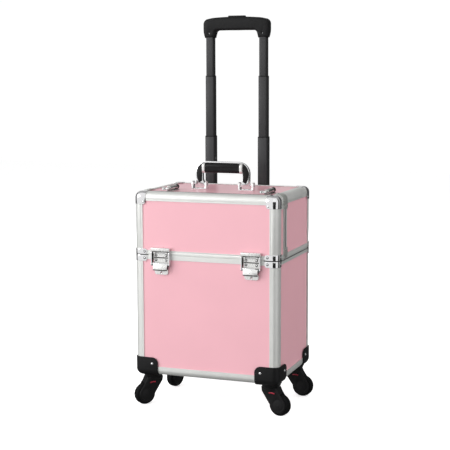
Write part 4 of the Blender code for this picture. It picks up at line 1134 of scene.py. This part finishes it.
def fork(label, place, trail, hub_z):
    """A hooded yoke with a round cover each side of the wheel. Built with the wheel trailing along +x."""
    low, high = box_spot("caster_fork_" + label)
    disc, half_width, neck = 0.018, 0.0114, 0.0196
    top = -0.0104
    hub = (trail, hub_z)
    side = [(neck, top), (-neck, top), (-neck, top - 0.005), (-neck + 0.0012, top - 0.011)]
    side += arc(hub, disc, 207, 398, 36)
    side += [(neck + 0.0055, top - 0.0115), (neck + 0.0022, top - 0.006)]
    body = prism(side, "y", -half_width, half_width)
    body = rims_rounded(body, "y", 0.0022, 4)
    round_cut = turned([(0.0, -0.08), (0.0325, -0.08), (0.0325, 0.0), (0.0, 0.0)], (0.0095, 0, 0), (0, 0, 1), 56)
    body = keep(body, round_cut)
    crown = turned([(0.0, top - 0.0055), (0.0192, top - 0.0055), (0.0200, top - 0.0045), (0.0200, top - 0.0006),
                    (0.0194, top), (0.0, top)], (0, 0, 0), (0, 0, 1), 48)
    body = join(body, crown)
    room = rod((hub[0], 0, hub[1]), (0, 1, 0), -0.0093, 0.0093, 0.0260, 0.0002, 48)
    body = cut(body, room)
    for face in (-1, 1):
        start, end = sorted((face * (half_width - 0.0006), face * (half_width + 0.0004)))
        groove = turned([(0.0128, start), (0.0136, start), (0.0136, end), (0.0128, end)], (hub[0], 0, hub[1]),
                        (0, 1, 0), 48)
        body = cut(body, groove)
    stem = rod((0, 0, 0), (0, 0, 1), top - 0.001, high.z - 0.0002, 0.0040, 0.0003, 24)
    axle = rod((hub[0], 0, hub[1]), (0, 1, 0), -0.0110, 0.0110, 0.0030, 0.0002, 20)
    mesh = gather(softened(body, 0.0005, 2, 45), stem, axle)
    mesh.transform(place)
    show("fork_shape_" + label, mesh, MATERIALS["black"], "fork_" + label, ["caster_fork_" + label])
    caps = [turned([(0.0, 0.0005), (0.0022, 0.0004), (0.0032, 0.0), (0.0032, -0.0004), (0.0, -0.0004)],
                   (hub[0], face * half_width, hub[1]), (0, face, 0), 24) for face in (-1, 1)]
    caps = gather(*caps)
    caps.transform(place)
    show("axle_caps_" + label, caps, MATERIALS["black"], "fork_" + label)
    marks = []
    for face in (-1, 1):
        start, end = sorted((face * (half_width - 0.0003), face * (half_width + 0.0005)))
        strip = arc((0.0065, -0.0445), 0.0235, 70, 108, 8) + arc((0.0065, -0.0445), 0.0208, 108, 70, 8)
        marks.append(softened(prism(strip, "y", start, end), 0.0002, 2, 50))
    marks = gather(*marks)
    marks.transform(place)
    show("fork_marks_" + label, marks, MATERIALS["red"], "fork_" + label)


def wheel(label, place, trail, hub_z):
    """A wheel with a rounded tread, two shallow grooves and a dished side."""
    low, high = box_spot("caster_wheel_" + label)
    radius = (high.z - low.z) / 2
    half = 0.0088
    quarter = [(0.0034, half - 0.0012), (0.0120, half - 0.0012), (0.0130, half - 0.0002), (0.0195, half)]
    quarter += [(radius - 0.0052 + 0.0052 * math.sin(a), half - 0.0052 + 0.0052 * math.cos(a))
                for a in (0.3, 0.6, 0.9, 1.2, 1.5)]
    quarter += [(radius, 0.0030), (radius - 0.0005, 0.0026), (radius - 0.0005, 0.0019), (radius, 0.0015)]
    profile = quarter + [(r, -across) for r, across in reversed(quarter)]
    mesh = turned(profile, (trail, 0, hub_z), (0, 1, 0), 64)
    mesh.transform(place)
    show("wheel_shape_" + label, mesh, MATERIALS["rubber"], "wheel_" + label, ["caster_wheel_" + label])


# ---- tray -------------------------------------------------------------------------------------------
def tray():
    low, high = box_spot("lift_tray")
    wall = 0.002
    mesh = block(low, high, 0.004, flat=("+z",), steps=5)
    splits = (low.x, -0.045, 0.060, high.x)
    for start, end in zip(splits, splits[1:]):
        left = start + (wall if start == low.x else wall / 2)
        right = end - (wall if end == high.x else wall / 2)
        well = block((left, low.y + wall, low.z + wall), (right, high.y - wall, high.z + FAR), 0.0035,
                     flat=("+z",), steps=4)
        mesh = cut(mesh, well)
    for end in (low.y, high.y):
        notch = rod((0, 0, high.z + 0.002), (0, 1, 0), end - FAR, end + FAR, 0.011, 0.0001, 32)
        mesh = cut(mesh, notch)
    show("tray_shape", softened(mesh, 0.0004, 2, 45), MATERIALS["black"], "tray", ["lift_tray"])


# ---- studio -----------------------------------------------------------------------------------------
def panel(name, centre, target, width, height, material=None):
    """A flat rectangle that faces a target."""
    mesh = bpy.data.meshes.new(name)
    w, h = width / 2, height / 2
    mesh.from_pydata([(-w, -h, 0), (w, -h, 0), (w, h, 0), (-w, h, 0)], [], [(0, 1, 2, 3)])
    item = bpy.data.objects.new(name, mesh)
    item.location = Vector(centre)
    if target is not None:
        item.rotation_euler = (Vector(target) - Vector(centre)).to_track_quat("-Z", "Y").to_euler()
    mesh.materials.append(material)
    bpy.context.scene.collection.objects.link(item)
    return item


def card(name, first, last, lowest, highest, glow, reach=3.0, steps=12):
    """A curved screen round the set, from one azimuth to another, that only metals and gloss see."""
    finish = Finish(name, (0.0, 0.0, 0.0, 1.0), 1.0)
    finish.shader.inputs["Specular IOR Level"].default_value = 0.0
    finish.shader.inputs["Emission Color"].default_value = (1.0, 1.0, 1.0, 1.0)
    finish.shader.inputs["Emission Strength"].default_value = glow
    rows = 8
    verts = []
    for row in range(rows + 1):
        rise = math.radians(lowest + (highest - lowest) * row / rows)
        for step in range(steps + 1):
            turn = math.radians(first + (last - first) * step / steps)
            verts.append((reach * math.cos(rise) * math.sin(turn), -reach * math.cos(rise) * math.cos(turn),
                          0.35 + reach * math.sin(rise)))
    faces = []
    for row in range(rows):
        for step in range(steps):
            spot = row * (steps + 1) + step
            faces.append((spot, spot + 1, spot + steps + 2, spot + steps + 1))
    mesh = bpy.data.meshes.new(name)
    mesh.from_pydata(verts, [], faces)
    mesh.materials.append(finish.material)
    item = bpy.data.objects.new(name, mesh)
    bpy.context.scene.collection.objects.link(item)
    item.visible_camera = False
    item.visible_diffuse = False
    item.visible_shadow = False


def softbox(name, azimuth, reach, height, width, tall, power, glossy=False, target=0.35):
    """A large area light; the cards stand in for most of them in reflections."""
    light = bpy.data.lights.new(name, "AREA")
    light.shape = "RECTANGLE"
    light.size, light.size_y, light.energy = width, tall, power
    item = bpy.data.objects.new(name, light)
    turn = math.radians(azimuth)
    item.location = (reach * math.sin(turn), -reach * math.cos(turn), height)
    item.rotation_euler = (Vector((0, 0, target)) - item.location).to_track_quat("-Z", "Y").to_euler()
    item.visible_glossy = glossy
    bpy.context.scene.collection.objects.link(item)


def studio():
    paint = Finish("floor_paint", (0.86, 0.86, 0.86, 1.0), 0.8)
    paint.shader.inputs["Emission Color"].default_value = (1.0, 1.0, 1.0, 1.0)
    paint.shader.inputs["Emission Strength"].default_value = 0.66
    floor = panel("floor", (0, 0, 0), None, 12.0, 12.0, paint.material)
    floor.visible_glossy = False
    floor.visible_diffuse = False

    softbox("key", -46, 2.7, 1.3, 2.2, 2.2, 54, True)
    softbox("front", 0, 2.8, 1.0, 2.0, 1.6, 28)
    softbox("top", 20, 0.5, 2.6, 2.0, 1.6, 2)
    softbox("side", 105, 2.6, 0.9, 1.6, 1.8, 26)
    softbox("rear", 190, 2.6, 1.2, 2.4, 1.8, 26)

    card("key_card", -80, -5, -32, 70, 0.9)
    card("front_card", -5, 44, 7, 70, 1.0)
    card("dark_card", -5, 44, -32, 7, 0.02)
    card("right_card", 44, 82, -32, 70, 0.9)
    card("roof_card", -80, 82, 70, 90, 0.5)
    card("rear_card", 192, 246, 0, 45, 0.7)
    card("rear_dark_card", 138, 178, -30, 30, 0.08)
    card("side_dark_card", 84, 104, -30, 40, 0.05)
    card("left_dark_card", -106, -84, -30, 40, 0.05)

    world = bpy.data.worlds.new("studio")
    bpy.context.scene.world = world
    world.use_nodes = True
    tree = world.node_tree
    around = tree.nodes["Background"]
    around.inputs["Color"].default_value = (1.0, 1.0, 1.0, 1.0)
    place = tree.nodes.new("ShaderNodeTexCoord")
    parts = tree.nodes.new("ShaderNodeSeparateXYZ")
    spread = tree.nodes.new("ShaderNodeMapRange")
    spread.inputs["From Min"].default_value = -0.25
    spread.inputs["From Max"].default_value = 0.35
    spread.inputs["To Min"].default_value = 0.22
    spread.inputs["To Max"].default_value = 0.38
    tree.links.new(place.outputs["Generated"], parts.inputs["Vector"])
    tree.links.new(parts.outputs["Z"], spread.inputs["Value"])
    tree.links.new(spread.outputs["Result"], around.inputs["Strength"])
    plain = tree.nodes.new("ShaderNodeBackground")
    plain.inputs["Color"].default_value = (1.0, 1.0, 1.0, 1.0)
    plain.inputs["Strength"].default_value = 1.02
    path = tree.nodes.new("ShaderNodeLightPath")
    mix = tree.nodes.new("ShaderNodeMixShader")
    tree.links.new(path.outputs["Is Camera Ray"], mix.inputs["Fac"])
    tree.links.new(around.outputs["Background"], mix.inputs[1])
    tree.links.new(plain.outputs["Background"], mix.inputs[2])
    tree.links.new(mix.outputs["Shader"], tree.nodes["World Output"].inputs["Surface"])


def camera():
    """A long lens from the front right, a little above the case."""
    data = bpy.data.cameras.new("camera")
    data.sensor_width = 36.0
    data.lens = 97.0
    item = bpy.data.objects.new("camera", data)
    item.location = ORIGIN + Vector((0.9649, -2.4641, 0.7041))
    yaw, pitch, roll = math.radians(-20.42), math.radians(-7.63), math.radians(-0.2)
    forward = Vector((math.sin(yaw) * math.cos(pitch), math.cos(yaw) * math.cos(pitch), math.sin(pitch)))
    item.rotation_mode = "QUATERNION"
    item.rotation_quaternion = forward.to_track_quat("-Z", "Y") @ Matrix.Rotation(roll, 3, "Z").to_quaternion()
    bpy.context.scene.collection.objects.link(item)
    bpy.context.scene.camera = item


def colours():
    settings = bpy.context.scene.view_settings
    settings.view_transform = "Standard"
    settings.look = "None"


camera()
colours()
studio()
lower_rails()
carry_rails()
flap_rails()
carried_boards()
linings()
corner_caps()
seam_lip()
seam_fittings()
side_fittings()
side_beads()
piano_hinge()
latches()
carry_handle()
strap_fittings()
trolley_tubes()
trolley_grip()
trolley_brackets()
casters()
tray()
